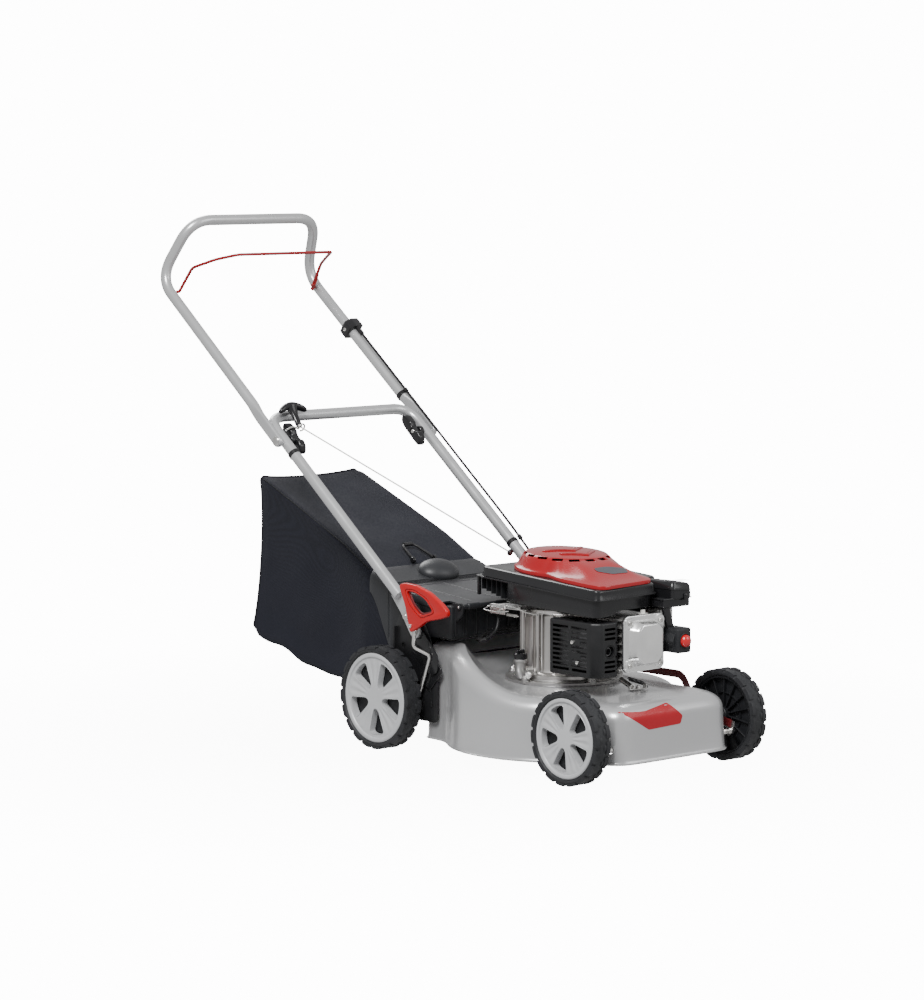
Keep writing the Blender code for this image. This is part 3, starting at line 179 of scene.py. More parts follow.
def build_materials():
    made = {}

    def add(name, *args, **extra):
        made[name] = Surface(name, *args, **extra)
        return made[name]

    deck = add("deck_paint", (0.455, 0.458, 0.464), 0.3, metal=0.5, coat=0.5)
    deck.shade(5.0, 0.04).uneven(9.0, 0.03).bump(deck.noise(420.0, 2.0), 0.04, 0.0002)
    tube = add("handle_paint", (0.47, 0.474, 0.48), 0.28, metal=0.5, coat=0.35)
    tube.shade(9.0, 0.05).uneven(30.0, 0.05).bump(tube.noise(600.0, 2.0), 0.06, 0.0002)
    rod = add("red_paint", (0.26, 0.0028, 0.0045), 0.3, coat=0.2, specular=0.4)
    rod.shade(25.0, 0.18).bump(rod.noise(500.0), 0.05, 0.0002)
    strap = add("strap_paint", (0.13, 0.006, 0.009), 0.38, coat=0.25)
    strap.shade(20.0, 0.2).bump(strap.noise(300.0), 0.08, 0.0003)
    red = add("red_plastic", (0.28, 0.0024, 0.0056), 0.24, coat=0.16, specular=0.36)
    red.shade(11.0, 0.06).uneven(25.0, 0.04).bump(red.noise(300.0, 2.0), 0.03, 0.0002)
    grip = add("grip_plastic", (0.42, 0.003, 0.005), 0.3, coat=0.12, specular=0.34)
    grip.shade(18.0, 0.12).bump(grip.noise(700.0), 0.1, 0.0002)
    black = add("black_plastic", (0.01, 0.01, 0.0112), 0.23, specular=0.42)
    black.shade(12.0, 0.25).uneven(18.0, 0.07).bump(black.cells(900.0), 0.07, 0.0002)
    dark = add("dark_plastic", (0.0135, 0.014, 0.016), 0.5, specular=0.3)
    dark.shade(9.0, 0.25).uneven(20.0, 0.08).bump(dark.cells(700.0), 0.2, 0.0003)
    flap = add("flap_plastic", (0.021, 0.0218, 0.025), 0.42, specular=0.4)
    flap.shade(7.0, 0.22).uneven(14.0, 0.07).bump(flap.cells(620.0), 0.25, 0.0003)
    wheel = add("wheel_plastic", (0.44, 0.446, 0.455), 0.38, metal=0.1)
    wheel.shade(14.0, 0.08).uneven(30.0, 0.06).bump(wheel.noise(500.0), 0.08, 0.0002)
    inner = add("wheel_inner", (0.0125, 0.013, 0.015), 0.48, specular=0.25)
    inner.shade(14.0, 0.25).bump(inner.noise(300.0), 0.1, 0.0003)
    tyre = add("tyre_rubber", (0.0185, 0.019, 0.0215), 0.6, specular=0.34)
    tyre.shade(30.0, 0.35).uneven(50.0, 0.1).bump(tyre.noise(260.0, 4.0), 0.25, 0.0005)
    cast = add("cast_aluminium", (0.45, 0.445, 0.435), 0.42, metal=0.9)
    cast.shade(28.0, 0.3).uneven(60.0, 0.1).bump(cast.noise(420.0, 4.0), 0.3, 0.0005)
    machined = add("machined_aluminium", (0.58, 0.565, 0.545), 0.28, metal=0.95)
    machined.shade(6.0, 0.22, (9.0, 9.0, 1.0)).bump(machined.noise(90.0, 3.0, (1.0, 1.0, 14.0)), 0.1,
                                                    0.0003)
    cover = add("rocker_metal", (0.9, 0.9, 0.89), 0.2, metal=0.92, coat=0.2)
    cover.shade(16.0, 0.12).uneven(26.0, 0.06).bump(cover.noise(30.0, 2.0), 0.1, 0.0008)
    zinc = add("bright_steel", (0.72, 0.71, 0.69), 0.27, metal=1.0)
    zinc.shade(40.0, 0.2).uneven(70.0, 0.08).bump(zinc.noise(500.0), 0.08, 0.0002)
    steel = add("dark_steel", (0.15, 0.15, 0.155), 0.36, metal=0.9)
    steel.shade(22.0, 0.35).uneven(40.0, 0.1).bump(steel.noise(300.0, 4.0), 0.12, 0.0003)
    heat = add("black_metal", (0.012, 0.012, 0.0132), 0.42, metal=0.2, specular=0.42)
    heat.shade(22.0, 0.3).uneven(40.0, 0.08).bump(heat.noise(550.0, 4.0), 0.2, 0.0003)
    heat.worn_edges((0.05, 0.05, 0.05), 0.25)
    sheath = add("rubber", (0.009, 0.009, 0.01), 0.42, specular=0.35)
    sheath.shade(40.0, 0.25).bump(sheath.noise(400.0), 0.1, 0.0002)
    foam = add("foam", (0.22, 0.19, 0.1), 0.9)
    foam.shade(60.0, 0.4).bump(foam.cells(420.0), 0.8, 0.0012)
    glaze = add("porcelain", (0.8, 0.79, 0.75), 0.12, coat=0.6)
    glaze.shade(60.0, 0.06).bump(glaze.noise(80.0), 0.03, 0.0003)
    bulb = add("bulb_rubber", (0.5, 0.004, 0.008), 0.18, coat=0.35)
    bulb.shade(60.0, 0.08).bump(bulb.noise(300.0), 0.03, 0.0002)
    label = add("red_label", (0.33, 0.0026, 0.009), 0.32, coat=0.1, specular=0.34)
    label.shade(30.0, 0.08).bump(label.noise(40.0), 0.04, 0.0003)
    badge = add("grey_badge", (0.055, 0.058, 0.075), 0.3, metal=0.4, coat=0.4)
    badge.shade(60.0, 0.2).bump(badge.noise(500.0), 0.06, 0.0002)
    rope = add("rope", (0.74, 0.74, 0.71), 0.75, sheen=0.3)
    strands = rope.math("ADD", rope.waves(260.0, "DIAGONAL"), rope.waves(260.0, "X"))
    rope.shade(120.0, 0.18).bump(strands, 0.5, 0.0005)
    cloth = add("bag_fabric", (0.0066, 0.007, 0.0122), 0.85, sheen=0.04, specular=0.15)
    threads = cloth.math("ADD", cloth.waves(420.0, "X"), cloth.math("ADD", cloth.waves(420.0, "Y"),
                                                                    cloth.waves(420.0, "Z")))
    cloth.shade(6.0, 0.25).tint(cloth.mapped(threads, 0.0, 1.0, 0.6, 2.4), (0.0135, 0.0145, 0.0235), 0.6)
    cloth.uneven(12.0, 0.06).bump(threads, 0.45, 0.0004).bump(cloth.noise(26.0, 4.0), 0.25, 0.003)
    piping = add("bag_binding", (0.0055, 0.006, 0.008), 0.7, specular=0.2)
    piping.shade(40.0, 0.3).bump(piping.waves(500.0, "DIAGONAL"), 0.4, 0.0004)
    return {name: surface.material for name, surface in made.items()}


MATERIALS = build_materials()


# ---------------------------------------------------------------- mesh helpers
def object_from(bm, name="piece"):
    bmesh.ops.recalc_face_normals(bm, faces=bm.faces)
    data = bpy.data.meshes.new(name)
    bm.to_mesh(data)
    bm.free()
    item = bpy.data.objects.new(name, data)
    bpy.context.scene.collection.objects.link(item)
    return item


def arc(centre, radius, start, end, steps):
    """Points on an arc, angles in degrees."""
    out = []
    for i in range(steps + 1):
        angle = math.radians(start + (end - start) * i / steps)
        out.append((centre[0] + radius * math.cos(angle), centre[1] + radius * math.sin(angle)))
    return out


def corner_points(before, here, after, radius, steps):
    """Points round one corner of a line."""
    to_start, to_end = before - here, after - here
    back = min(radius, to_start.length * 0.49, to_end.length * 0.49)
    start = here + to_start.normalized() * back
    end = here + to_end.normalized() * back
    return [start * (1 - t) ** 2 + here * 2 * t * (1 - t) + end * t * t
            for t in (k / steps for k in range(steps + 1))]


def round_outline(points, radius, steps=4):
    """A flat outline with its corners rounded."""
    path = [Vector(p) for p in points]
    out = []
    for i, here in enumerate(path):
        after = path[(i + 1) % len(path)]
        out += [tuple(p) for p in corner_points(path[i - 1], here, after, radius, steps)]
    return out


def rounded(points, radius, steps=8):
    """A line of points in space with its inner corners rounded."""
    path = [Vector(p) for p in points]
    out = [path[0]]
    for before, here, after in zip(path, path[1:], path[2:]):
        out += corner_points(before, here, after, radius, steps)
    return out + [path[-1]]


def coil(start, step, radius, first, second, points, per_turn):
    """A spring's wire: one step per point, turning in the plane of two axes."""
    wire = []
    for k in range(points):
        across = radius * math.cos(math.tau * k / per_turn)
        up = radius * math.sin(math.tau * k / per_turn)
        wire.append(tuple(s + d * k + a * across + b * up for s, d, a,
                          b in zip(start, step, first, second)))
    return wire


def smooth_route(points, per_span=8):
    """A smooth curve through the points."""
    path = [Vector(p) for p in points]
    out = []
    for i in range(len(path) - 1):
        a, b = path[i], path[i + 1]
        slope_a = (b - path[max(i - 1, 0)]) / 2
        slope_b = (path[min(i + 2, len(path) - 1)] - a) / 2
        for k in range(per_span):
            t = k / per_span
            out.append(a * (2 * t ** 3 - 3 * t ** 2 + 1) + slope_a * (t ** 3 - 2 * t ** 2 + t)
                       + b * (-2 * t ** 3 + 3 * t ** 2) + slope_b * (t ** 3 - t ** 2))
    return out + [path[-1]]


def box(low, high, bevel=0.0, segments=2):
    bm = bmesh.new()
    bmesh.ops.create_cube(bm, size=1.0)
    size = [h - l for l, h in zip(low, high)]
    bmesh.ops.scale(bm, vec=size, verts=bm.verts)
    bmesh.ops.translate(bm, vec=[(l + h) / 2 for l, h in zip(low, high)], verts=bm.verts)
    if bevel:
        bmesh.ops.bevel(bm, geom=bm.edges[:], offset=bevel, segments=segments, profile=0.5, affect="EDGES")
    return object_from(bm, "box")


def turned(profile, centre=(0, 0, 0), axis="Z", steps=64):
    """A closed profile of (radius, height) pairs turned about an axis."""
    bm = bmesh.new()
    ring = [bm.verts.new((radius, 0.0, height)) for radius, height in profile]
    edges = []
    for i, vertex in enumerate(ring):
        other = ring[(i + 1) % len(ring)]
        if vertex.co.x + other.co.x > 0.0:
            edges.append(bm.edges.new((vertex, other)))
    bmesh.ops.spin(bm, geom=ring + edges, cent=(0, 0, 0), axis=(0, 0, 1), angle=math.tau, steps=steps,
                   use_merge=True)
    bmesh.ops.remove_doubles(bm, verts=bm.verts, dist=1e-6)
    bmesh.ops.dissolve_degenerate(bm, dist=1e-7, edges=bm.edges)
    bmesh.ops.transform(bm, matrix=Matrix.Translation(centre) @ AXIS_TURN[axis], verts=bm.verts)
    return object_from(bm, "turned")


def rod(centre, radius, length, axis="Z", steps=24, bevel=0.0):
    half = length / 2
    if bevel:
        profile = [(0, -half), (radius - bevel, -half), (radius, bevel - half), (radius, half - bevel),
                   (radius - bevel, half), (0, half)]
    else:
        profile = [(0, -half), (radius, -half), (radius, half), (0, half)]
    return turned(profile, centre, axis, steps)


def side_slab(outline, side, inner, outer, bevel=0.0, segments=2):
    """A plate across X on one side of the machine."""
    return slab(outline, *sorted((side * inner, side * outer)), "X", bevel, segments)


def slab(outline, low, high, axis="Z", bevel=0.0, segments=2):
    """A flat outline given thickness, its rims rounded: (x, y) for Z, (y, z) for X, (x, z) for Y."""
    def place(a, b, depth):
        return {"Z": (a, b, depth), "X": (depth, a, b), "Y": (a, depth, b)}[axis]
    bm = bmesh.new()
    face = bm.faces.new([bm.verts.new(place(a, b, low)) for a, b in outline])
    grown = bmesh.ops.extrude_face_region(bm, geom=[face])
    moved = [part for part in grown["geom"] if isinstance(part, bmesh.types.BMVert)]
    shift = Vector(place(0.0, 0.0, high)) - Vector(place(0.0, 0.0, low))
    bmesh.ops.translate(bm, vec=shift, verts=moved)
    bmesh.ops.recalc_face_normals(bm, faces=bm.faces)
    if bevel:
        flat = [f for f in bm.faces if len(f.verts) == len(outline)]
        rims = list({e for f in flat for e in f.edges})
        bmesh.ops.bevel(bm, geom=rims, offset=bevel, segments=segments, profile=0.5, affect="EDGES",
                        clamp_overlap=True)
    return object_from(bm, "slab")


def sweep(path, radius, sides=16, flat=1.0, cap=True, closed=False):
    """A tube along a path."""
    points = [Vector(p) for p in path]
    count = len(points)
    bm = bmesh.new()
    tangent = (points[1] - points[0]).normalized()
    side = tangent.orthogonal().normalized()
    angles = [math.tau * k / sides for k in range(sides)]
    rings = []
    for i, point in enumerate(points):
        ahead = points[(i + 1) % count] if closed else points[min(i + 1, count - 1)]
        behind = points[i - 1] if closed else points[max(i - 1, 0)]
        new = (ahead - behind).normalized()
        side = (tangent.rotation_difference(new) @ side).normalized()
        tangent = new
        other = tangent.cross(side)
        rings.append([bm.verts.new(point + side * (math.cos(a) * radius)
                                   + other * (math.sin(a) * radius * flat)) for a in angles])
    pairs = list(zip(rings, rings[1:])) + ([(rings[-1], rings[0])] if closed else [])
    for first, second in pairs:
        for k in range(sides):
            n = (k + 1) % sides
            bm.faces.new((first[k], first[n], second[n], second[k]))
    if cap and not closed:
        bm.faces.new(rings[0][::-1])
        bm.faces.new(rings[-1])
    return object_from(bm, "sweep")


def loft(rings, cap=True, closed=True):
    """Faces between rings of equal length."""
    bm = bmesh.new()
    rows = [[bm.verts.new(p) for p in ring] for ring in rings]
    count = len(rows[0])
    for first, second in zip(rows, rows[1:]):
        for i in range(count if closed else count - 1):
            j = (i + 1) % count
            bm.faces.new((first[i], first[j], second[j], second[i]))
    if cap and closed:
        bm.faces.new(rows[0][::-1])
        bm.faces.new(rows[-1])
    return object_from(bm, "loft")


def apply_all(item):
    shot = item.evaluated_get(bpy.context.evaluated_depsgraph_get())
    fresh = bpy.data.meshes.new_from_object(shot)
    item.modifiers.clear()
    old = item.data
    item.data = fresh
    bpy.data.meshes.remove(old)
    return item


def modified(item, kind, **settings):
    made = item.modifiers.new(kind, kind)
    for key, value in settings.items():
        setattr(made, key, value)
    return apply_all(item)


def beveled(item, width, segments=2, angle=35.0):
    return modified(item, "BEVEL", width=width, segments=segments, limit_method="ANGLE",
                    angle_limit=math.radians(angle), miter_outer="MITER_ARC", harden_normals=False)


def subdivided(item, levels=1):
    return modified(item, "SUBSURF", levels=levels, render_levels=levels)


def combine(base, tools, operation):
    for tool in tools:
        modified(base, "BOOLEAN", operation=operation, object=tool, solver="EXACT")
        bpy.data.objects.remove(tool)
    return base


def mended(item, weld=False, upward=False, fill=None):
    """Turns the faces outward, or upward for an open sheet, and can weld its seam or fill a rim."""
    bm = bmesh.new()
    bm.from_mesh(item.data)
    if weld:
        bmesh.ops.remove_doubles(bm, verts=bm.verts, dist=1e-6)
    if fill:
        rim = [e for e in bm.edges if len(e.link_faces) == 1 and fill(e.verts[0].co)]
        bmesh.ops.contextual_create(bm, geom=rim)
    bmesh.ops.recalc_face_normals(bm, faces=bm.faces)
    if upward and sum(f.normal.z * f.calc_area() for f in bm.faces) < 0:
        bmesh.ops.reverse_faces(bm, faces=bm.faces)
    bm.to_mesh(item.data)
    bm.free()
    return item


def cut(base, *tools):
    return combine(base, tools, "DIFFERENCE")


def fused(base, *tools):
    return combine(base, tools, "UNION")


def together(*items):
    """Several closed shapes as one object, each still its own shape."""
    bm = bmesh.new()
    for item in items:
        bm.from_mesh(item.data)
        bpy.data.objects.remove(item)
    data = bpy.data.meshes.new("group")
    bm.to_mesh(data)
    bm.free()
    made = bpy.data.objects.new("group", data)
    bpy.context.scene.collection.objects.link(made)
    return made


def moved(item, *matrices):
    for matrix in matrices:
        item.data.transform(matrix)
    return item


def shift(x, y, z):
    return Matrix.Translation((x, y, z))


def turn(angle, axis):
    return Matrix.Rotation(angle, 4, axis)


def mirrored(item):
    """The same piece turned into its copy on the other side of the machine."""
    item.data.transform(Matrix.Scale(-1, 4, (1, 0, 0)))
    item.data.flip_normals()
    return item


def aimed(place, direction):
    """Carries the origin to a place and +Z to a direction."""
    return Matrix.Translation(place) @ Vector((0, 0, 1)).rotation_difference(direction).to_matrix().to_4x4()


def laid_on(target, outline, axis, level, cuts, offset, negative=False):
    """A thin patch with a flat outline, laid on a finished piece along one axis."""
    bm = bmesh.new()
    bm.faces.new([bm.verts.new((a, b, level) if axis == "Z" else (a, level, b)) for a, b in outline])
    bmesh.ops.triangulate(bm, faces=bm.faces)
    bmesh.ops.subdivide_edges(bm, edges=bm.edges[:], cuts=cuts, use_grid_fill=True)
    patch = object_from(bm)
    patch.data.transform(MIDDLE)
    modified(patch, "SHRINKWRAP", target=target, wrap_method="PROJECT", use_project_x=False,
             use_project_y=axis == "Y", use_project_z=axis == "Z", use_positive_direction=not negative,
             use_negative_direction=negative, offset=offset, wrap_mode="ABOVE_SURFACE")
    patch.data.transform(MIDDLE.inverted())
    return patch


def finish_piece(item, name, look, body="root", nodes=(), sharp=35.0):
    """Names a piece, gives it its material and hangs it on its body."""
    item.name = name
    item.data.name = name
    item.data.transform(MIDDLE)
    item.data.shade_smooth()
    item.data.set_sharp_from_angle(angle=math.radians(sharp))
    item.data.materials.clear()
    item.data.materials.append(MATERIALS[look])
    if body:
        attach(item, body)
    if nodes:
        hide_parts(*nodes)
    return item


def smoothstep(value):
    value = min(1.0, max(0.0, value))
    return value * value * (3.0 - 2.0 * value)


def screw(centre, axis, radius=0.0042, height=0.003, sign=1):
    """A pan-head screw with a hexagon socket."""
    head = turned([(0, 0), (radius, 0), (radius, height * 0.45), (radius * 0.86, height * 0.85),
                   (radius * 0.5, height), (0, height)], (0, 0, 0), "Z", 24)
    socket = rod((0, 0, height), radius * 0.45, height * 0.9, "Z", 6)
    cut(head, socket)
    flip = turn(math.pi, "X") if sign < 0 else Matrix.Identity(4)
    return moved(head, flip, AXIS_TURN[axis], shift(*centre))


def nut(centre, axis, radius=0.006, height=0.005):
    body = rod((0, 0, 0), radius, height, "Z", 6)
    beveled(body, 0.0005, 2)
    thread = rod((0, 0, height * 0.5), radius * 0.52, height * 0.8, "Z", 20, 0.0004)
    washer = rod((0, 0, -height * 0.5), radius * 1.25, 0.001, "Z", 28)
    return moved(together(body, thread, washer), AXIS_TURN[axis], shift(*centre))


# ---------------------------------------------------------------- wheels
WHEEL_HALF = 0.019
WHEEL_X = 0.2043
TYRE_DEPTH = 0.013
WINDOWS = 5


def polar_block(start, end, low_r, high_r, low_x, high_x, steps=4, taper=0.0012):
    """A block bent round the wheel's axis, its outer face a little smaller."""
    rings = []
    for i in range(steps + 1):
        t = i / steps
        angle = start + (end - start) * t
        edge = taper if i in (0, steps) else 0.0
        ring = []
        for radius, x in ((low_r, low_x), (high_r - edge, low_x + taper), (high_r - edge, high_x - taper),
                          (low_r, high_x)):
            ring.append((x, radius * math.cos(angle), radius * math.sin(angle)))
        rings.append(ring)
    return loft(rings)


def make_tyre(radius):
    """A tyre with a rounded tread face and two staggered rows of lugs."""
    rim = radius - TYRE_DEPTH
    body = radius - 0.003
    w = WHEEL_HALF
    profile = [(rim, -w + 0.004), (rim + 0.003, -w + 0.0012), (body - 0.004, -w + 0.0006),
               (body - 0.001, -w + 0.002), (body, -w + 0.005)]
    profile += [(body + 0.0012 * math.sin(math.pi * k / 8), (-w + 0.005) + (2 * w - 0.01) * k / 8)
                for k in range(1, 8)]
    profile += [(body, w - 0.005), (body - 0.001, w - 0.002), (body - 0.004, w - 0.0006),
                (rim + 0.003, w - 0.001), (rim + 0.0016, w - 0.003), (rim, w - 0.0045)]
    tyre = turned(profile, (0, 0, 0), "X", 120)
    blocks = []
    count = 20 if radius > 0.09 else 18
    pitch = math.tau / count
    for i in range(count):
        for side, shift_by in ((1, 0.0), (-1, 0.5)):
            middle = (i + shift_by) * pitch
            outer, inner = side * (w - 0.0004), side * 0.0015
            blocks.append(polar_block(middle - pitch * 0.4, middle + pitch * 0.4, body - 0.003, radius,
                                      *sorted((outer, side * 0.008)), steps=6, taper=0.0009))
            blocks.append(polar_block(middle - pitch * 0.2, middle + pitch * 0.2, body - 0.003,
                                      radius - 0.0006, *sorted((side * 0.0095, inner)), steps=4,
                                      taper=0.0014))
    return together(tyre, *blocks)


def window_outline(ring_r):
    """One opening between two spokes, from a point at the rim to a narrow foot."""
    half = [(0.245, 0.03), (0.3, 0.085), (0.45, 0.14), (0.62, 0.195), (0.77, 0.245), (0.815, 0.16)]
    points = [(0.835, 0.0)] + half[::-1] + [(a, -b) for a, b in half]
    return round_outline([(a * ring_r, b * ring_r) for a, b in points], 0.0045, 4)


def make_wheel_cover(ring_r):
    """The light outer face: a raised rim, five fluted spokes and deep windows."""
    pitch = math.tau / WINDOWS
    steps = 180

    def face_x(share, angle):
        x = 0.015 - 0.0022 * smoothstep((share - 0.2) / 0.45) + 0.001 * smoothstep((share - 0.6) / 0.22)
        x += 0.0032 * smoothstep((share - 0.895) / 0.025)
        x -= 0.0014 * smoothstep((share - 0.97) / 0.03)
        off = (angle + pitch / 2) % pitch - pitch / 2
        spoke = pitch / 2 - abs(off)
        fade = smoothstep((share - 0.25) / 0.15) * smoothstep((0.87 - share) / 0.06)
        return x + (0.00075 * math.cos(spoke * 24.0) * fade if spoke < 0.36 else 0.0)
    shares = [k / 22 * 0.88 for k in range(1, 23)] + [0.895, 0.905, 0.915, 0.93, 0.95, 0.97, 0.985, 1.0]
    angles = [math.tau * i / steps for i in range(steps)]
    rings = [[(face_x(share, a), share * ring_r * math.cos(a), share * ring_r * math.sin(a))
              for a in angles] for share in shares]
    low = [[(x - 0.003, y, z) for x, y, z in ring] for ring in rings]
    disc = loft(rings + low[::-1])
    outline = window_outline(ring_r)
    inner = [(a * 0.97 + ring_r * 0.017, b * 0.94) for a, b in outline]

    def widened(ring, x):
        return [(x, a + (0.0014 if a > ring_r * 0.6 else -0.0012), b + math.copysign(0.0012, b)) for a,
                b in ring]
    cutters, walls = [], []
    for i in range(WINDOWS):
        spin = turn(pitch * i, "X")
        cutters.append(moved(slab(outline, -0.01, 0.03, "X"), spin))
        face = [(0.0144, a, b) for a, b in outline]
        wall = [face, [(0.001, a, b) for a, b in inner], widened(inner, 0.001), widened(outline, 0.0128),
                face]
        walls.append(moved(loft(wall, cap=False), spin))
    cut(disc, *cutters)
    beveled(disc, 0.0006, 2, 50.0)
    for wall in walls:
        mended(wall, weld=True)
    rim = turned([(ring_r - 0.003, -0.002), (ring_r - 0.0002, -0.002), (ring_r - 0.0002, 0.014),
                  (ring_r - 0.003, 0.013)], (0, 0, 0), "X", 96)
    return together(disc, rim, *walls)


def make_wheel_back(ring_r):
    """The dark inner half: a dished plate with ribs and the hub."""
    plate = turned([(0.0068, -0.004), (0.016, -0.004), (0.02, -0.003), (ring_r - 0.006, -0.003),
                    (ring_r - 0.004, -0.0135), (ring_r - 0.0006, -0.0145), (ring_r - 0.0006, -0.012),
                    (ring_r - 0.0034, -0.0005), (0.0068, -0.0005)], (0, 0, 0), "X", 96)
    hub = turned([(0.0068, -0.0165), (0.0135, -0.0165), (0.0145, -0.0155), (0.015, -0.003),
                  (0.0068, -0.003)], (0, 0, 0), "X", 48)
    ring = turned([(ring_r * 0.56, -0.0075), (ring_r * 0.575, -0.0075), (ring_r * 0.58, -0.003),
                   (ring_r * 0.555, -0.003)], (0, 0, 0), "X", 96)
    ribs = []
    for i in range(15):
        rib = box((-0.0105, 0.014, -0.0008), (-0.003, ring_r - 0.004, 0.0008), 0.0004, 1)
        ribs.append(moved(rib, turn(math.tau * i / 15, "X")))
    return together(plate, hub, ring, *ribs)


def make_wheels():
    """Four wheels, each a tyre, a light cover, a dark back and its hub washer."""
    for end, y, radius, first in (("rear", 0.2656, 0.1, 22.0), ("front", -0.2656, 0.0875, 4.0)):
        ring_r = radius - TYRE_DEPTH - 0.0003
        spin = turn(math.radians(-first), "X")
        for name, side in SIDES:
            tag = end + "_" + name
            body = tag + "_wheel"
            flip = Matrix.Scale(side, 4, (1, 0, 0))
            for piece, kind, look, nodes in ((make_tyre(radius), "tread_", "tyre_rubber",
                                              ("tyre_" + tag,)),
                                             (make_wheel_cover(ring_r), "cover_", "wheel_plastic",
                                              ("wheel_" + tag,)),
                                             (make_wheel_back(ring_r), "back_", "wheel_inner", ())):
                piece.data.transform(shift(side * WHEEL_X, y, radius) @ flip @ spin)
                if side < 0:
                    piece.data.flip_normals()
                finish_piece(piece, kind + tag, look, body, nodes, 32.0)
            cap = turned([(0, -0.0006), (0.0062, -0.0006), (0.0062, 0.0), (0.005, 0.0012), (0, 0.0016)],
                         (0, 0, 0), "X", 32)
            cap.data.transform(shift(side * (WHEEL_X - 0.017), y, radius) @ flip)
            if side < 0:
                cap.data.flip_normals()
            finish_piece(cap, "hub_washer_" + tag, "bright_steel", body)


# ---------------------------------------------------------------- deck
CRANK_Y = -0.033
DECK_R = 0.22
DECK_HALF_WIDTH = 0.16
DECK_FRONT_Y = -0.335
DECK_REAR_Y = 0.185
DECK_BOTTOM_Z = 0.0275
DECK_FRONT_BOTTOM_Z = 0.038
DECK_TOP_Z = 0.146
DECK_TUNNEL_RISE = 0.07
DECK_SHEET = 0.0022
DECK_DRAFT = 0.003
PLATFORM_R = 0.118
PLATFORM_Z = 0.15
SHOULDER = 0.03


def reach(angle, inset=0.0):
    """Distance from the crank axis to the deck's outline, 0 ahead and growing to the operator's right."""
    across, ahead = abs(math.sin(angle)), math.cos(angle)
    end = (CRANK_Y - DECK_FRONT_Y) if ahead > 0 else (DECK_REAR_Y - CRANK_Y)
    sharp = 9.0 if ahead > 0 else 30.0
    long_way = end - (inset if ahead > 0 else 0.0)
    wide_way = DECK_HALF_WIDTH - inset
    square = ((across / wide_way) ** sharp + (abs(ahead) / long_way) ** sharp) ** (-1 / sharp)
    soft = 26.0
    bowl = DECK_R - inset
    return (bowl ** soft + square ** soft) ** (1 / soft) if square < bowl * 1.6 else square


def shoulder_z(angle):
    """The top rises round the operator's right side into the rear tunnel."""
    degrees = math.degrees(angle)
    if degrees >= 0:
        rise = smoothstep((degrees - 62.0) / 76.0)
    else:
        rise = smoothstep((-122.0 - degrees) / 42.0)
    return DECK_TOP_Z - 0.002 + DECK_TUNNEL_RISE * rise


def make_deck():
    """The pressed deck: a flared skirt, a rolled shoulder and a sunken platform for the engine."""
    steps = 240
    angles = [math.radians(-180 + 360 * i / steps) for i in range(steps)]

    def bottom(angle):
        ahead = smoothstep((math.cos(angle) - 0.75) / 0.15)
        return DECK_BOTTOM_Z + (DECK_FRONT_BOTTOM_Z - DECK_BOTTOM_Z) * ahead

    def ring(rule):
        row = []
        for angle in angles:
            distance, height = rule(angle)
            row.append((-math.sin(angle) * distance, CRANK_Y - math.cos(angle) * distance, height))
        return row
    rings = [ring(lambda a, f=flare, r=rise: (reach(a) + f, bottom(a) + r)) for flare,
             rise in ((0.004, 0.0), (0.0026, 0.0006), (0.001, 0.0026), (0.0, 0.006))]
    for share in (0.25, 0.5, 0.75):
        rings.append(ring(lambda a, s=share: (reach(a, DECK_DRAFT * s),
                                              bottom(a) * (1 - s) + (shoulder_z(a) - SHOULDER) * s)))
    for k in range(9):
        lean = math.radians(90 * k / 8)
        rings.append(ring(lambda a, r=lean: (reach(a, DECK_DRAFT + SHOULDER * (1 - math.cos(r))),
                                             shoulder_z(a) - SHOULDER * (1 - math.sin(r)))))
    for k in range(1, 11):
        t = k / 11
        rings.append(ring(lambda a, t=t: (reach(a, DECK_DRAFT + SHOULDER) * (1 - t) + PLATFORM_R * t,
                                          PLATFORM_Z + (shoulder_z(a) - PLATFORM_Z) * (1 - t) ** 1.35
                                          - 0.003 * math.sin(math.pi * t))))
    for radius, drop in ((PLATFORM_R, 0.0004), (PLATFORM_R - 0.004, 0.0), (0.08, 0.0), (0.036, 0.0)):
        rings.append(ring(lambda a, r=radius, d=drop: (r, PLATFORM_Z - d)))
    deck = mended(loft(rings, cap=False), upward=True)
    modified(deck, "SOLIDIFY", thickness=DECK_SHEET, offset=-1.0)
    cut(deck, box((-0.138, 0.15, 0.06), (0.1, 0.215, 0.186)),
        rod((0, -0.3097, 0.064), 0.0069, 0.5, "X", 24))
    return finish_piece(deck, "deck_shell", "deck_paint", "root", ("deck",), 40.0)


def make_label(deck):
    """A blank red label that follows the front of the deck."""
    outline = round_outline([(-0.133, 0.133), (-0.078, 0.13), (-0.012, 0.1385), (0.018, 0.113),
                             (0.012, 0.0985), (-0.07, 0.096)], 0.003, 3)
    finish_piece(laid_on(deck, outline, "Y", -0.36, 5, 0.0004), "front_label", "red_label")


# ---------------------------------------------------------------- engine
ROOF_FRONT_Y = -0.245
ROOF_FRONT_Z = 0.3454
ROOF_SLOPE = 0.0616


def roof(y):
    """Height of the sloping lid over a place along the machine."""
    return ROOF_FRONT_Z + (y - ROOF_FRONT_Y) * ROOF_SLOPE


def sloped(item, slope):
    """Leans a flat piece so that it climbs to the rear."""
    for vertex in item.data.vertices:
        vertex.co.z += (vertex.co.y - ROOF_FRONT_Y) * slope
    return item


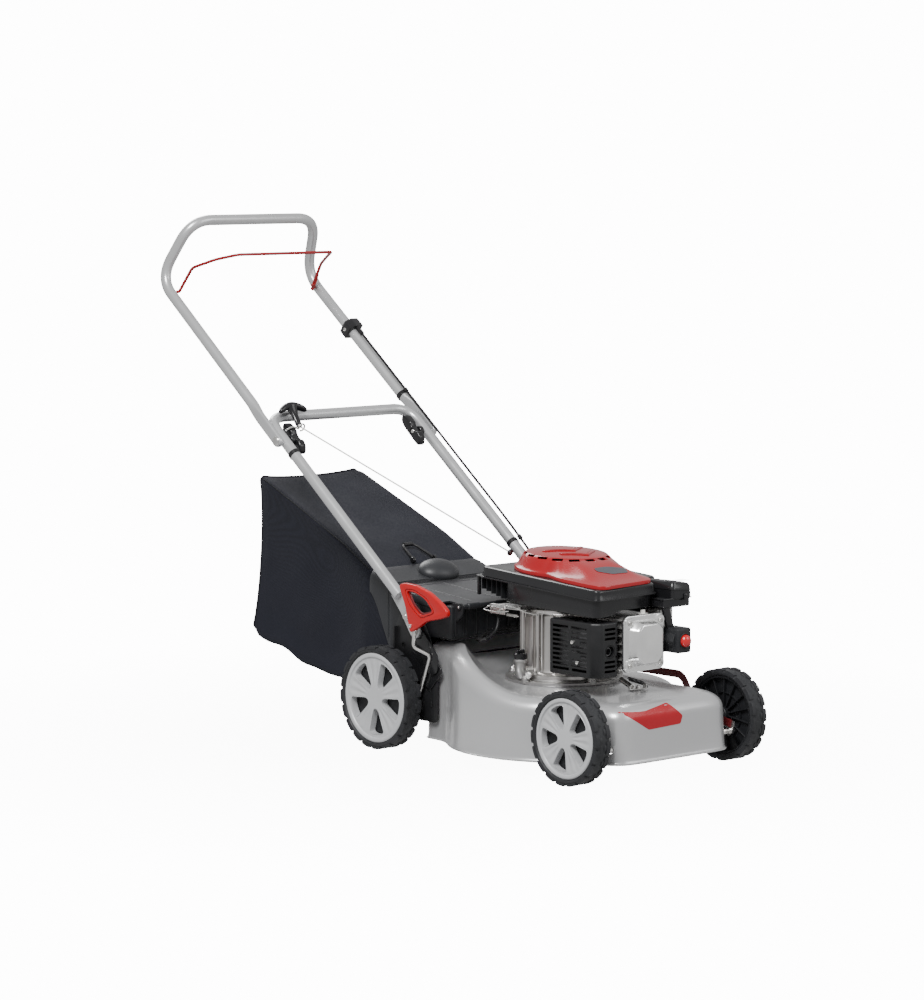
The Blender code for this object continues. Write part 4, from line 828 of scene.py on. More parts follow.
def make_housing():
    """Blower housing: a long lid with a thin rim, a deep body at the front and a duct behind it."""
    plan = round_outline([(-0.113, -0.24), (0.052, -0.229), (0.056, -0.178), (0.111, -0.172),
                          (0.113, 0.07), (0.07, 0.08), (-0.104, 0.08), (-0.113, 0.07)], 0.016, 5)
    skirt = round_outline([(-0.1175, -0.2445), (0.056, -0.233), (0.06, -0.182), (0.115, -0.176),
                           (0.1175, 0.09), (0.07, 0.0955), (-0.11, 0.0955), (-0.1175, 0.085)], 0.018, 5)
    middle_y = -0.07

    def grown(share_x, share_y):
        return [(x * share_x, (y - middle_y) * share_y + middle_y) for x, y in plan]

    def level(share_x, share_y, z):
        return [(x, y, z) for x, y in grown(share_x, share_y)]
    lid = loft([level(1.02, 1.015, 0.328), level(1.005, 1.004, 0.335),
                [(x, y, 0.339) for x, y in plan]] + [level(1 - inset / 0.115, 1 - inset / 0.165,
                                                           ROOF_FRONT_Z - fall) for inset,
                                                     fall in ((0.0, 0.004), (0.0008, 0.0018),
                                                              (0.0026, 0.0004), (0.005, 0.0),
                                                              (0.012, 0.0))])
    finish_piece(sloped(lid, ROOF_SLOPE), "housing_lid", "black_plastic", "root", ("blower_housing",), 30.0)
    rim = sloped(slab(skirt, 0.3258, 0.3288, "Z", 0.001, 2), 0.054)
    finish_piece(rim, "housing_rim", "black_plastic", sharp=30.0)
    band = sloped(slab(grown(0.975, 0.975), 0.3265, 0.3375, "Z", 0.0006, 1), 0.058)
    finish_piece(band, "housing_band", "black_plastic", sharp=30.0)
    front = round_outline([(-0.1105, -0.236), (0.048, -0.223), (0.052, -0.11), (0.098, -0.09),
                           (0.09, 0.03), (-0.03, 0.07), (-0.1, 0.025), (-0.1105, -0.015)], 0.014, 5)
    body = slab(front, 0.2935, 0.33, "Z", 0.003, 3)
    for vertex in body.data.vertices:
        if vertex.co.z > 0.31:
            vertex.co.z += (vertex.co.y - ROOF_FRONT_Y) * 0.05
        elif vertex.co.y > -0.15:
            vertex.co.z += 0.006 * smoothstep((vertex.co.y + 0.15) / 0.12)
    cut(body, box((-0.056, -0.26, 0.2), (0.056, -0.12, 0.303), 0.004, 2))
    finish_piece(body, "housing_body", "black_plastic", sharp=30.0)
    ribs = []
    for i in range(5):
        y = 0.028 + i * 0.0135
        ribs.append(slab([(-0.106, 0.306 + i * 0.0035), (-0.05, 0.3 + i * 0.003), (0.09, 0.308),
                          (0.09, 0.34), (-0.106, 0.34)], y, y + 0.0016, "Y"))
    floor = slab([(0.02, 0.299), (0.09, 0.326), (0.09, 0.329), (0.02, 0.302)], -0.095, 0.08, "X", 0.0006, 1)
    finish_piece(together(floor, *ribs), "housing_duct", "dark_plastic")
    posts = (box((-0.1085, 0.088, 0.308), (-0.102, 0.094, 0.342), 0.0015, 2),
             box((0.09, 0.086, 0.31), (0.098, 0.094, 0.342), 0.0015, 2))
    finish_piece(together(*posts), "housing_posts", "black_plastic")


def radial(outline, centre, angle):
    """Distance from a centre to an outline, in one direction."""
    along = Vector((math.cos(angle), math.sin(angle)))
    best = 0.0
    for i in range(len(outline)):
        a = Vector(outline[i - 1]) - Vector(centre)
        b = Vector(outline[i]) - Vector(centre)
        span = b - a
        bottom = along.x * span.y - along.y * span.x
        if abs(bottom) < 1e-12:
            continue
        reach_out = (a.x * span.y - a.y * span.x) / bottom
        share = (a.x * along.y - a.y * along.x) / bottom
        if -1e-6 <= share <= 1.000001 and reach_out > best:
            best = reach_out
    return best


COVER_MIDDLE = (0.0, -0.04)
COVER_TOP_R = 0.079
SLOT_R = 0.0815


def cover_rise(share):
    """Height of the red cover over the lid, from its slotted ring (0) out to its foot (1)."""
    return 0.0075 + 0.025 * (1.0 - smoothstep(share) * 0.72 - share * 0.28)


def chevron(apex, wide, band):
    """A raised V on top of the cover, its point to the front."""
    low, high = apex + wide * 0.62, apex + wide * 0.62 + band
    corners = [(-wide, low), (0.0, apex), (wide, low), (wide, high), (0.0, apex + band), (-wide, high)]
    outline = []
    for i, (x, y) in enumerate(corners):
        end = corners[(i + 1) % len(corners)]
        outline += [(x + (end[0] - x) * k / 6, y + (end[1] - y) * k / 6) for k in range(6)]
    ridge = slab(outline, 0.0, 0.0034, "Z", 0.0008, 2)
    for vertex in ridge.data.vertices:
        distance = math.hypot(vertex.co.x - COVER_MIDDLE[0], vertex.co.y - COVER_MIDDLE[1])
        vertex.co.z += roof(vertex.co.y) + 0.0388 - 0.005 * (distance / 0.07) ** 2
    return ridge


def make_cover():
    """Red cover: a slotted dome over the starter, with a nose that falls to the front."""
    plan = round_outline(arc(COVER_MIDDLE, 0.1, -42, 205, 40) + [(-0.104, -0.13), (-0.104, -0.216),
                                                                 (-0.096, -0.2385), (0.042, -0.225),
                                                                 (0.053, -0.213), (0.07, -0.15)], 0.012, 4)
    steps = 160
    angles = [math.tau * i / steps for i in range(steps)]
    foot = [radial(plan, COVER_MIDDLE, a) for a in angles]
    foot = [sum(foot[(i + k) % steps] for k in (-1, 0, 1)) / 3 for i in range(steps)]

    def ring(rule):
        row = []
        for i, angle in enumerate(angles):
            distance, rise = rule(foot[i])
            x = COVER_MIDDLE[0] + math.cos(angle) * distance
            y = COVER_MIDDLE[1] + math.sin(angle) * distance
            row.append((x, y, roof(y) + rise))
        return row
    rings = [ring(lambda f, i=inset, z=rise: (f - i, z)) for inset,
             rise in ((0.0, 0.0004), (0.0, 0.005), (0.0008, 0.0066))]
    for k in range(1, 15):
        share = 1.0 - k / 14
        rings.append(ring(lambda f, s=share: (
            COVER_TOP_R + (f - 0.0025 - COVER_TOP_R) * s,
            cover_rise(s) - (0.0009 * math.sin(math.pi * s) if f > 0.13 else 0))))
    for radius, rise in ((0.077, 0.0338), (0.0745, 0.0344), (0.07, 0.035), (0.055, 0.0372), (0.035, 0.039),
                         (0.015, 0.0398), (0.002, 0.04)):
        rings.append(ring(lambda f, r=radius, z=rise: (r, z)))
    shell = mended(loft(rings, cap=False), upward=True, fill=lambda co: co.z > 0.38)
    modified(shell, "SOLIDIFY", thickness=0.0022, offset=-1.0)
    slots = []
    for i in range(16):
        angle = math.tau * (i + 0.5) / 16
        slot = box((-0.0105, -0.0075, -0.0019), (0.0105, 0.0075, 0.0019), 0.0008, 1)
        y = COVER_MIDDLE[1] + math.sin(angle) * SLOT_R
        slots.append(moved(slot, turn(angle - math.pi / 2, "Z"),
                           shift(COVER_MIDDLE[0] + math.cos(angle) * SLOT_R, y, roof(y) + 0.0315)))
    cut(shell, *slots)
    finish_piece(shell, "red_cover", "red_plastic", "root", ("fan_cover",), 34.0)
    ridges = [chevron(COVER_MIDDLE[1] + apex, wide, 0.0085) for apex,
              wide in ((-0.06, 0.043), (-0.024, 0.05))]
    finish_piece(together(*ridges), "cover_ridges", "red_plastic")
    badge = round_outline([(-0.046, -0.17), (-0.02, -0.185), (0.022, -0.184), (0.03, -0.166),
                           (-0.008, -0.156), (-0.042, -0.156)], 0.006, 4)
    finish_piece(laid_on(shell, badge, "Z", 0.46, 3, 0.0006, negative=True), "cover_badge", "grey_badge")


def make_guard():
    """Slotted muffler guard with a bevelled corner and a round outlet to the front."""
    low_z, high_z = 0.181, 0.2845
    outlet_x, outlet_z = -0.078, 0.230
    plan = round_outline([(-0.113, -0.1115), (-0.113, -0.2225), (-0.0985, -0.2385), (-0.057, -0.2385),
                          (-0.057, -0.1115)], 0.005, 4)
    guard = slab(plan, low_z, high_z, "Z", 0.0045, 3)
    inside = [(x * 0.96 - 0.0036, (y + 0.175) * 0.955 - 0.175) for x, y in plan]
    cut(guard, slab(inside, low_z + 0.003, high_z - 0.003, "Z"))
    cutters = []
    rows = 10
    for i in range(rows):
        z = low_z + 0.0125 + i * (high_z - low_z - 0.025) / (rows - 1)
        lean = 0.0012 * (1 if i % 2 else -1)
        ahead = -0.196 if i in (3, 6) else -0.172 + lean
        for near, far in ((-0.164 + lean, -0.121), (-0.212, ahead)):
            cutters.append(box((-0.13, near, z - 0.0026), (-0.105, far, z + 0.0026), 0.0014, 2))
        if i not in (4, 5):
            left, right = (-0.064, -0.06) if i in (3, 6) else (-0.092, -0.064)
            cutters.append(box((left, -0.25, z - 0.0024), (right, -0.23, z + 0.0024), 0.0012, 2))
    for x, y in ((-0.108, -0.174), (-0.108, -0.198), (-0.09, -0.218)):
        cutters.append(box((x - 0.0008, y - 0.008, high_z - 0.0062),
                           (x + 0.016, y + 0.008, high_z + 0.004)))
    cutters.append(rod((outlet_x, -0.238, outlet_z), 0.012, 0.012, "Y", 40))
    cut(guard, *cutters)
    finish_piece(guard, "exhaust_guard", "black_metal", "root", ("muffler_guard",), 38.0)
    ring = turned([(0.0105, -0.001), (0.0128, -0.001), (0.0138, 0.0004), (0.013, 0.002), (0.012, 0.006),
                   (0.0105, 0.006)], (outlet_x, -0.2375, outlet_z), "Y", 48)
    finish_piece(ring, "exhaust_ring", "black_metal")
    pipe = turned([(0.006, 0.0), (0.008, 0.0), (0.0085, 0.024), (0.006, 0.024)], (outlet_x, -0.233, outlet_z),
                  "Y", 32)
    finish_piece(pipe, "exhaust_outlet", "dark_steel")
    box_in = box((-0.102, -0.225, 0.189), (-0.068, -0.12, 0.276), 0.012, 4)
    seam = box((-0.104, -0.2262, 0.231), (-0.067, -0.1188, 0.2332), 0.0008, 1)
    finish_piece(together(box_in, seam), "silencer_box", "dark_steel", "root", ("muffler",))
    screws = together(screw((-0.113, -0.175, 0.245), "X", 0.004, 0.003, -1),
                      screw((-0.113, -0.188, 0.208), "X", 0.004, 0.003, -1))
    finish_piece(screws, "guard_screws", "bright_steel")


def make_rocker():
    """Cast rocker cover: a square flange with four bolts and a raised faceted dome."""
    y0 = -0.2443
    flange_plan = []
    for x, z, start in ((0.04, 0.281, 0), (-0.04, 0.281, 90), (-0.04, 0.201, 180), (0.04, 0.201, 270)):
        flange_plan += arc((x, z), 0.0125, start, start + 90, 6)
    flange = slab(flange_plan, y0 - 0.0045, y0, "Y", 0.0014, 2)
    corners = [(x, z) for x in (-0.04, 0.04) for z in (0.201, 0.281)]
    fused(flange, *[rod((x, y0 - 0.0045, z), 0.0105, 0.006, "Y", 32, 0.001) for x, z in corners])

    def level(scale_x, scale_z, depth):
        half_x, half_z = 0.0405 * scale_x, 0.043 * scale_z
        cut_off = 0.015 * min(scale_x, scale_z)
        points = [(half_x, half_z - cut_off), (half_x - cut_off, half_z), (-half_x + cut_off, half_z),
                  (-half_x, half_z - cut_off), (-half_x, -half_z + cut_off), (-half_x + cut_off, -half_z),
                  (half_x - cut_off, -half_z), (half_x, -half_z + cut_off)]
        return [(x, y0 - depth, z + 0.241) for x, z in round_outline(points, 0.004, 3)]
    dome = loft([level(1.02, 1.02, 0.002), level(1.0, 1.0, 0.006), level(0.93, 0.95, 0.01),
                 level(0.84, 0.9, 0.018), level(0.79, 0.86, 0.0222), level(0.74, 0.82, 0.024)])
    beveled(dome, 0.0012, 2, 25.0)
    finish_piece(together(flange, dome), "rocker_casting", "rocker_metal", "root", ("rocker_cover",), 30.0)
    bolts = [screw((x, y0 - 0.0075, z), "Y", 0.005, 0.0035, -1) for x, z in corners]
    finish_piece(together(*bolts), "rocker_bolts", "bright_steel")
    gasket = slab([(x * 1.004, (z - 0.241) * 1.004 + 0.241) for x, z in flange_plan], y0, y0 + 0.0008, "Y")
    finish_piece(gasket, "rocker_gasket", "black_metal")


def make_block():
    """Crankcase column with cast ribs, sump flange, oil neck and finned head."""
    sump = turned([(0.03, 0.1503), (0.112, 0.1503), (0.1125, 0.1512), (0.1125, 0.156), (0.1112, 0.1572),
                   (0.099, 0.158), (0.097, 0.16), (0.03, 0.16)], (0, CRANK_Y, 0), "Z", 128)
    around = arc((0, CRANK_Y), 0.106, 40, 328, 4)
    ears = [rod((x, y, 0.156), 0.0085, 0.01, "Z", 24, 0.001) for x, y in around]
    finish_piece(together(sump, *ears), "sump_casting", "cast_aluminium", "root", ("sump",))
    bolts = [nut((x, y, 0.164), "Z", 0.0055, 0.005) for x, y in around]
    finish_piece(together(*bolts), "sump_bolts", "bright_steel")
    column = turned([(0.03, 0.1603), (0.0935, 0.1603), (0.0935, 0.166), (0.09, 0.169), (0.084, 0.172),
                     (0.0815, 0.178), (0.0805, 0.278), (0.085, 0.282), (0.087, 0.286), (0.087, 0.29),
                     (0.03, 0.29)], (0, CRANK_Y, 0), "Z", 128)
    ribs = []
    for degrees in (150, 165, 182, 197, 212, 228, 262, 288, 330, 10, 45, 80, 110, 157, 190, 235, 300):
        if degrees in (157, 190, 235, 300):
            rib = rod((0.0815, 0, 0.228), 0.0058, 0.12, "Z", 24, 0.0012)
        else:
            rib = box((0.078, -0.0021, 0.168), (0.0862, 0.0021, 0.286), 0.0012, 2)
        ribs.append(moved(rib, turn(math.radians(degrees), "Z"), shift(0, CRANK_Y, 0)))
    arm = box((-0.048, -0.202, 0.195), (0.048, -0.09, 0.285), 0.004, 2)
    finish_piece(together(column, arm, *ribs), "crankcase_casting", "machined_aluminium", "root",
                 ("crankcase",), 32.0)
    fins = []
    for i in range(7):
        z = 0.196 + i * 0.0148
        fins.append(box((-0.052, -0.243, z), (0.052, -0.15, z + 0.0028), 0.001, 2))
    core = box((-0.044, -0.244, 0.193), (0.044, -0.15, 0.289), 0.003, 2)
    finish_piece(together(core, *fins), "head_casting", "cast_aluminium", "root", ("cylinder_head",))
    neck_path = [(-0.105, -0.029, 0.164), (-0.1085, -0.029, 0.176), (-0.109, -0.029, 0.196)]
    neck = sweep(smooth_route(neck_path, 6), 0.0105, 32)
    collar = rod((-0.109, -0.029, 0.194), 0.0125, 0.006, "Z", 40, 0.001)
    foot = sweep([(-0.08, -0.029, 0.17), (-0.108, -0.029, 0.17)], 0.0115, 28)
    drain = sweep([(-0.09, -0.01, 0.17), (-0.109, -0.052, 0.17)], 0.0068, 24)
    finish_piece(together(neck, collar, foot, drain), "oil_neck", "cast_aluminium")
    plug = turned([(0, 0.1975), (0.0105, 0.1975), (0.0125, 0.199), (0.013, 0.202), (0.0125, 0.207),
                   (0.01, 0.2085), (0, 0.2085)], (-0.109, -0.029, 0.0), "Z", 40)
    wing = box((-0.119, -0.0312, 0.2075), (-0.099, -0.0268, 0.215), 0.0015, 3)
    finish_piece(together(plug, wing), "oil_plug_cap", "black_plastic", "oil_plug", ("dipstick",))
    boss = turned([(0, 0), (0.0062, 0), (0.0068, 0.001), (0.0068, 0.005), (0.005, 0.0064), (0, 0.0064)],
                  (0, 0, 0), "Z", 6)
    moved(boss, AXIS_TURN["X"], turn(math.radians(25), "Z"), turn(math.pi, "Z"),
          shift(-0.1125, -0.056, 0.17))
    finish_piece(boss, "drain_screw", "bright_steel")


def make_filter():
    """Air filter box on its tray, with the arm that runs down to the primer, the bulb and the carburettor."""
    bulb_x, bulb_z = 0.0770, 0.2405
    tray = box((0.045, -0.255, 0.301), (0.1145, -0.17, 0.3185), 0.003, 3)
    shelf = box((0.043, -0.2575, 0.3165), (0.1165, -0.17, 0.319), 0.001, 2)
    neck = box((0.046, -0.19, 0.305), (0.105, -0.15, 0.34), 0.004, 3)
    arm_outline = [(0.048, 0.302), (0.064, 0.302), (0.076, 0.264), (0.074, 0.23), (0.064, 0.23),
                   (0.06, 0.262)]
    arm = slab(arm_outline, -0.252, -0.244, "Y", 0.0015, 2)
    finish_piece(together(tray, shelf, neck, arm), "filter_tray", "black_plastic")
    plan = round_outline([(0.064, -0.259), (0.1155, -0.259), (0.1155, -0.183), (0.064, -0.183)], 0.008, 5)
    mid = (0.0898, -0.221)
    rings = []
    for z, inset in ((0.3186, 0.0), (0.33, 0.0), (0.3302, -0.0012), (0.3345, -0.0012), (0.335, 0.0),
                     (0.345, 0.0016), (0.3485, 0.004), (0.3498, 0.008), (0.35, 0.016)):
        ring = []
        for x, y in plan:
            px = x - math.copysign(inset, x - mid[0])
            py = y - math.copysign(inset, y - mid[1])
            ring.append((px, py, z - (0.004 * (x - 0.064) / 0.0515 if z > 0.332 else 0.0)))
        rings.append(ring)
    lid = loft(rings)
    clip = box((0.093, -0.2615, 0.314), (0.106, -0.2588, 0.326), 0.001, 2)
    tab = box((0.096, -0.2625, 0.3215), (0.103, -0.26, 0.3245), 0.0008, 2)
    ledge = [box((0.0648, -0.256 + k * 0.0085, 0.3497), (0.112, -0.2548 + k * 0.0085, 0.3503), 0.0003, 1)
             for k in range(3)]
    finish_piece(together(lid, clip, tab, *ledge), "filter_lid", "black_plastic", "filter_lid",
                 ("air_filter_cover",), 32.0)
    shell = box((0.0595, -0.279, 0.217), (0.095, -0.231, 0.2645), 0.0045, 3)
    wedge = slab([(0.054, 0.24), (0.062, 0.26), (0.062, 0.221)], -0.27, -0.238, "Y", 0.0015, 2)
    cut(shell, rod((bulb_x, -0.274, bulb_z), 0.0128, 0.028, "Y", 48))
    collar = turned([(0.0122, -0.278), (0.015, -0.278), (0.015, -0.28), (0.0138, -0.2808),
                     (0.0122, -0.28)], (bulb_x, 0, bulb_z), "Y", 48)
    finish_piece(together(shell, wedge, collar), "primer_shell", "dark_plastic", "root",
                 ("primer_housing",), 32.0)
    bulb = turned([(0.0, -0.29), (0.0045, -0.2896), (0.0082, -0.288), (0.0105, -0.2855), (0.0116, -0.282),
                   (0.0119, -0.279), (0.0119, -0.272), (0.0, -0.2715)], (bulb_x, 0, bulb_z), "Y", 48)
    finish_piece(bulb, "primer_dome", "bulb_rubber", "primer", ("primer_bulb",), 50.0)
    body = box((0.057, -0.229, 0.233), (0.0975, -0.1905, 0.2985), 0.005, 3)
    bowl = turned([(0, 0.213), (0.013, 0.213), (0.0158, 0.215), (0.016, 0.23), (0.017, 0.231),
                   (0.017, 0.2335), (0, 0.2335)], (0.077, -0.21, 0), "Z", 48)
    nuts = together(nut((0.077, -0.21, 0.2125), "Z", 0.0045, 0.003),
                    screw((0.064, -0.229, 0.27), "Y", 0.0035, 0.0025, -1))
    finish_piece(together(body, bowl), "carburettor_casting", "cast_aluminium", "root", ("carburettor",))
    finish_piece(nuts, "carburettor_screws", "bright_steel")


def make_engine_extras():
    """Linkage over the crankcase, the cable's loop and its end, and the small pipes at the front."""
    plate = slab(round_outline([(-0.112, 0.064), (-0.062, 0.064), (-0.056, 0.01), (-0.09, -0.04),
                                (-0.108, -0.03), (-0.115, 0.02)], 0.006, 4), 0.2886, 0.2902, "Z", 0.0004, 1)
    fold = box((-0.1135, 0.01, 0.277), (-0.112, 0.052, 0.29), 0.0004, 1)
    ear = box((-0.113, 0.048, 0.276), (-0.1, 0.0495, 0.29), 0.0004, 1)
    lip = box((-0.108, -0.042, 0.278), (-0.07, -0.0405, 0.29), 0.0004, 1)
    screws = [screw((x, y, 0.2902), "Z", 0.004, 0.003) for x, y in ((-0.093, -0.01), (-0.095, 0.03))]
    screws.append(nut((-0.115, 0.025, 0.284), "X", 0.0045, 0.004))
    finish_piece(together(plate, fold, ear, lip, *screws), "linkage_plate", "bright_steel")
    wires = [sweep(smooth_route([(-0.113, 0.05, 0.289), (-0.119, 0.04, 0.296), (-0.119, -0.02, 0.295),
                                 (-0.113, -0.045, 0.288), (-0.113, -0.08, 0.286)], 6), 0.0011, 10),
             sweep(smooth_route([(-0.112, 0.06, 0.287), (-0.124, 0.056, 0.284), (-0.124, 0.02, 0.283),
                                 (-0.113, 0.0, 0.285)], 6), 0.0011, 10)]
    wires.append(sweep(coil((-0.1165, 0.0, 0.279), (0.0, -0.0003, 0.0), 0.0026, X_AXIS, Z_AXIS, 97, 8),
                       0.0005, 6))
    finish_piece(together(*wires), "linkage_wires", "bright_steel")
    arm = slab(round_outline([(-0.104, 0.025), (-0.096, 0.025), (-0.096, 0.056), (-0.099, 0.06),
                              (-0.103, 0.059), (-0.105, 0.05)], 0.0025, 4), 0.2845, 0.2872, "Z", 0.0004, 1)
    pin = rod((-0.1, 0.03, 0.286), 0.003, 0.005, "Z", 24, 0.0005)
    finish_piece(together(arm, pin), "brake_lever", "bright_steel", "engine_brake", ("brake_arm",))
    pipe_root, pipe_end = Vector((0.006, -0.182, 0.164)), Vector((0.0, -0.218, 0.154))
    pipe = sweep([pipe_root, pipe_end], 0.005, 28)
    hollow = sweep([(0.001, -0.212, 0.1557), (-0.0001, -0.219, 0.1537)], 0.0034, 20)
    cut(pipe, hollow)
    lip_two = turned([(0.0034, 0), (0.0056, 0), (0.0056, 0.0025), (0.0034, 0.0025)], (0, 0, 0), "Z", 28)
    moved(lip_two, aimed(pipe_end, (pipe_root - pipe_end).normalized()))
    clamp = slab(round_outline([(0.006, -0.215), (0.042, -0.215), (0.042, -0.205), (0.006, -0.2)], 0.003,
                               3), 0.1472, 0.1486, "Z", 0.0003, 1)
    clamp_up = box((0.04, -0.215, 0.1475), (0.0414, -0.206, 0.156), 0.0004, 1)
    clamp_bolt = nut((0.025, -0.208, 0.1505), "Z", 0.0045, 0.004)
    finish_piece(together(pipe, lip_two, clamp, clamp_up, clamp_bolt), "drain_pipe", "bright_steel")
    spring = coil((0.021, -0.188, 0.164), (0.0002, -0.00015, -0.00008), 0.0032, Y_AXIS, Z_AXIS, 113, 8)
    hook = smooth_route([spring[-1], (0.045, -0.206, 0.154), (0.048, -0.21, 0.15), (0.046, -0.212, 0.148)],
                        6)
    finish_piece(together(sweep(spring, 0.0009, 8), sweep(hook, 0.0009, 8)), "front_spring", "dark_steel")
    shoe = box((0.0935, -0.155, 0.205), (0.137, 0.065, 0.292), 0.01, 4)
    seam = box((0.0928, -0.1557, 0.248), (0.1377, 0.0657, 0.25), 0.006, 3)
    strap = box((0.093, -0.052, 0.204), (0.1376, -0.038, 0.2928), 0.0015, 2)
    finish_piece(together(shoe, seam, strap), "tank_shell", "dark_plastic", "root", ("fuel_tank",))
    tank_at = (0.085, 0.062, 0)
    neck = turned([(0, 0.344), (0.0165, 0.344), (0.0165, 0.367), (0, 0.367)], tank_at, "Z", 48)
    finish_piece(neck, "tank_neck", "black_plastic")
    cap = turned([(0, 0.3676), (0.0222, 0.3676), (0.023, 0.3684), (0.023, 0.3768), (0.0216, 0.379),
                  (0.019, 0.3798), (0.0184, 0.3784), (0.007, 0.3784), (0, 0.3786)], tank_at, "Z",
                 64)
    grips = [moved(box((0.0222, -0.0013, 0.369), (0.0236, 0.0013, 0.3775), 0.0004, 1),
                   turn(math.tau * k / 24, "Z"), shift(*tank_at)) for k in range(24)]
    bar = box((0.069, 0.0592, 0.378), (0.101, 0.0648, 0.3803), 0.001, 2)
    finish_piece(together(cap, bar, *grips), "tank_cap", "black_plastic", "filler_cap", ("fuel_cap",))


# ---------------------------------------------------------------- handle
LEG_ANGLE = math.radians(38.37)
LEG = Vector((0, math.cos(LEG_ANGLE), math.sin(LEG_ANGLE)))
LEG_NORMAL = Vector((0, -math.sin(LEG_ANGLE), math.cos(LEG_ANGLE)))
FOLD = Vector((0, 0.578, 0.5752))
TUBE_R, UPPER_X, LOWER_X = 0.011, 0.1973, 0.1862
CABLE_R, CABLE_X, CABLE_OFF = 0.0026, 0.199, 0.015
FOOT_BOLTS = ((0.212, 0.262), (0.19, 0.234))


def on_leg(side_x, along, off=0.0):
    """A point beside the fold axis: along the legs, off their centre line."""
    return Vector((side_x, 0, 0)) + FOLD + LEG * along + LEG_NORMAL * off


def oval(centre, half_x, half_off, power, steps=32):
    """A rounded cross-section of the leg, from a circle to a flat bar."""
    ring = []
    for i in range(steps):
        c, s = math.cos(math.tau * i / steps), math.sin(math.tau * i / steps)
        x = math.copysign(abs(c) ** (2 / power), c) * half_x
        off = math.copysign(abs(s) ** (2 / power), s) * half_off
        ring.append(centre + Vector((x, 0, 0)) + LEG_NORMAL * off)
    return ring


def leg_plug(place):
    """A black push-in sleeve or tie round one leg."""
    return loft([oval(place + LEG * along, r, r, 2.0) for along,
                 r in ((-0.0045, 0.0112), (-0.004, 0.0124), (0.004, 0.0124), (0.0045, 0.0112))])


def cable_clip(x, off, stations):
    """A round sleeve beside a leg, its radius given at places along it."""
    return loft([oval(on_leg(x, along, off), r, r, 2.0, 24) for along, r in stations])


def make_lower_tubes():
    """The lower handle: one bent tube with a cross-bar, its flattened feet and their bolts."""
    path = [on_leg(-LOWER_X, -0.445), on_leg(-LOWER_X, 0.069), on_leg(LOWER_X, 0.069),
            on_leg(LOWER_X, -0.445)]
    frame_tube = sweep(rounded(path, 0.045, 14), TUBE_R, 36)
    flat = [(0.2385, 0.309), (0.212, 0.286), (0.182, 0.245), (0.1765, 0.23), (0.186, 0.2185),
            (0.199, 0.22), (0.23, 0.264), (0.261, 0.298)]
    soles = [side_slab(round_outline(flat, 0.006, 4), side, 0.175, 0.1824, 0.0012) for _, side in SIDES]
    finish_piece(together(frame_tube, *soles), "lower_tubes", "handle_paint", "root", ("lower_handle",),
                 40.0)
    bolts = []
    for side in (-1, 1):
        for y, z in FOOT_BOLTS:
            bolts.append(nut((side * 0.1852, y, z), "X", 0.0062, 0.005))
            bolts.append(rod((side * 0.1868, y, z), 0.0028, 0.006, "X", 16, 0.0006))
            washer = turned([(0.003, 0.0), (0.0088, 0.0), (0.0088, 0.001), (0.003, 0.001)], (0, 0, 0), "X",
                            32)
            bolts.append(moved(washer, shift(side * 0.1824 - (0.001 if side < 0 else 0), y, z)))
    finish_piece(together(*bolts), "foot_bolts", "bright_steel")
    finish_piece(leg_plug(on_leg(-LOWER_X, -0.04)), "leg_sleeve", "rubber")


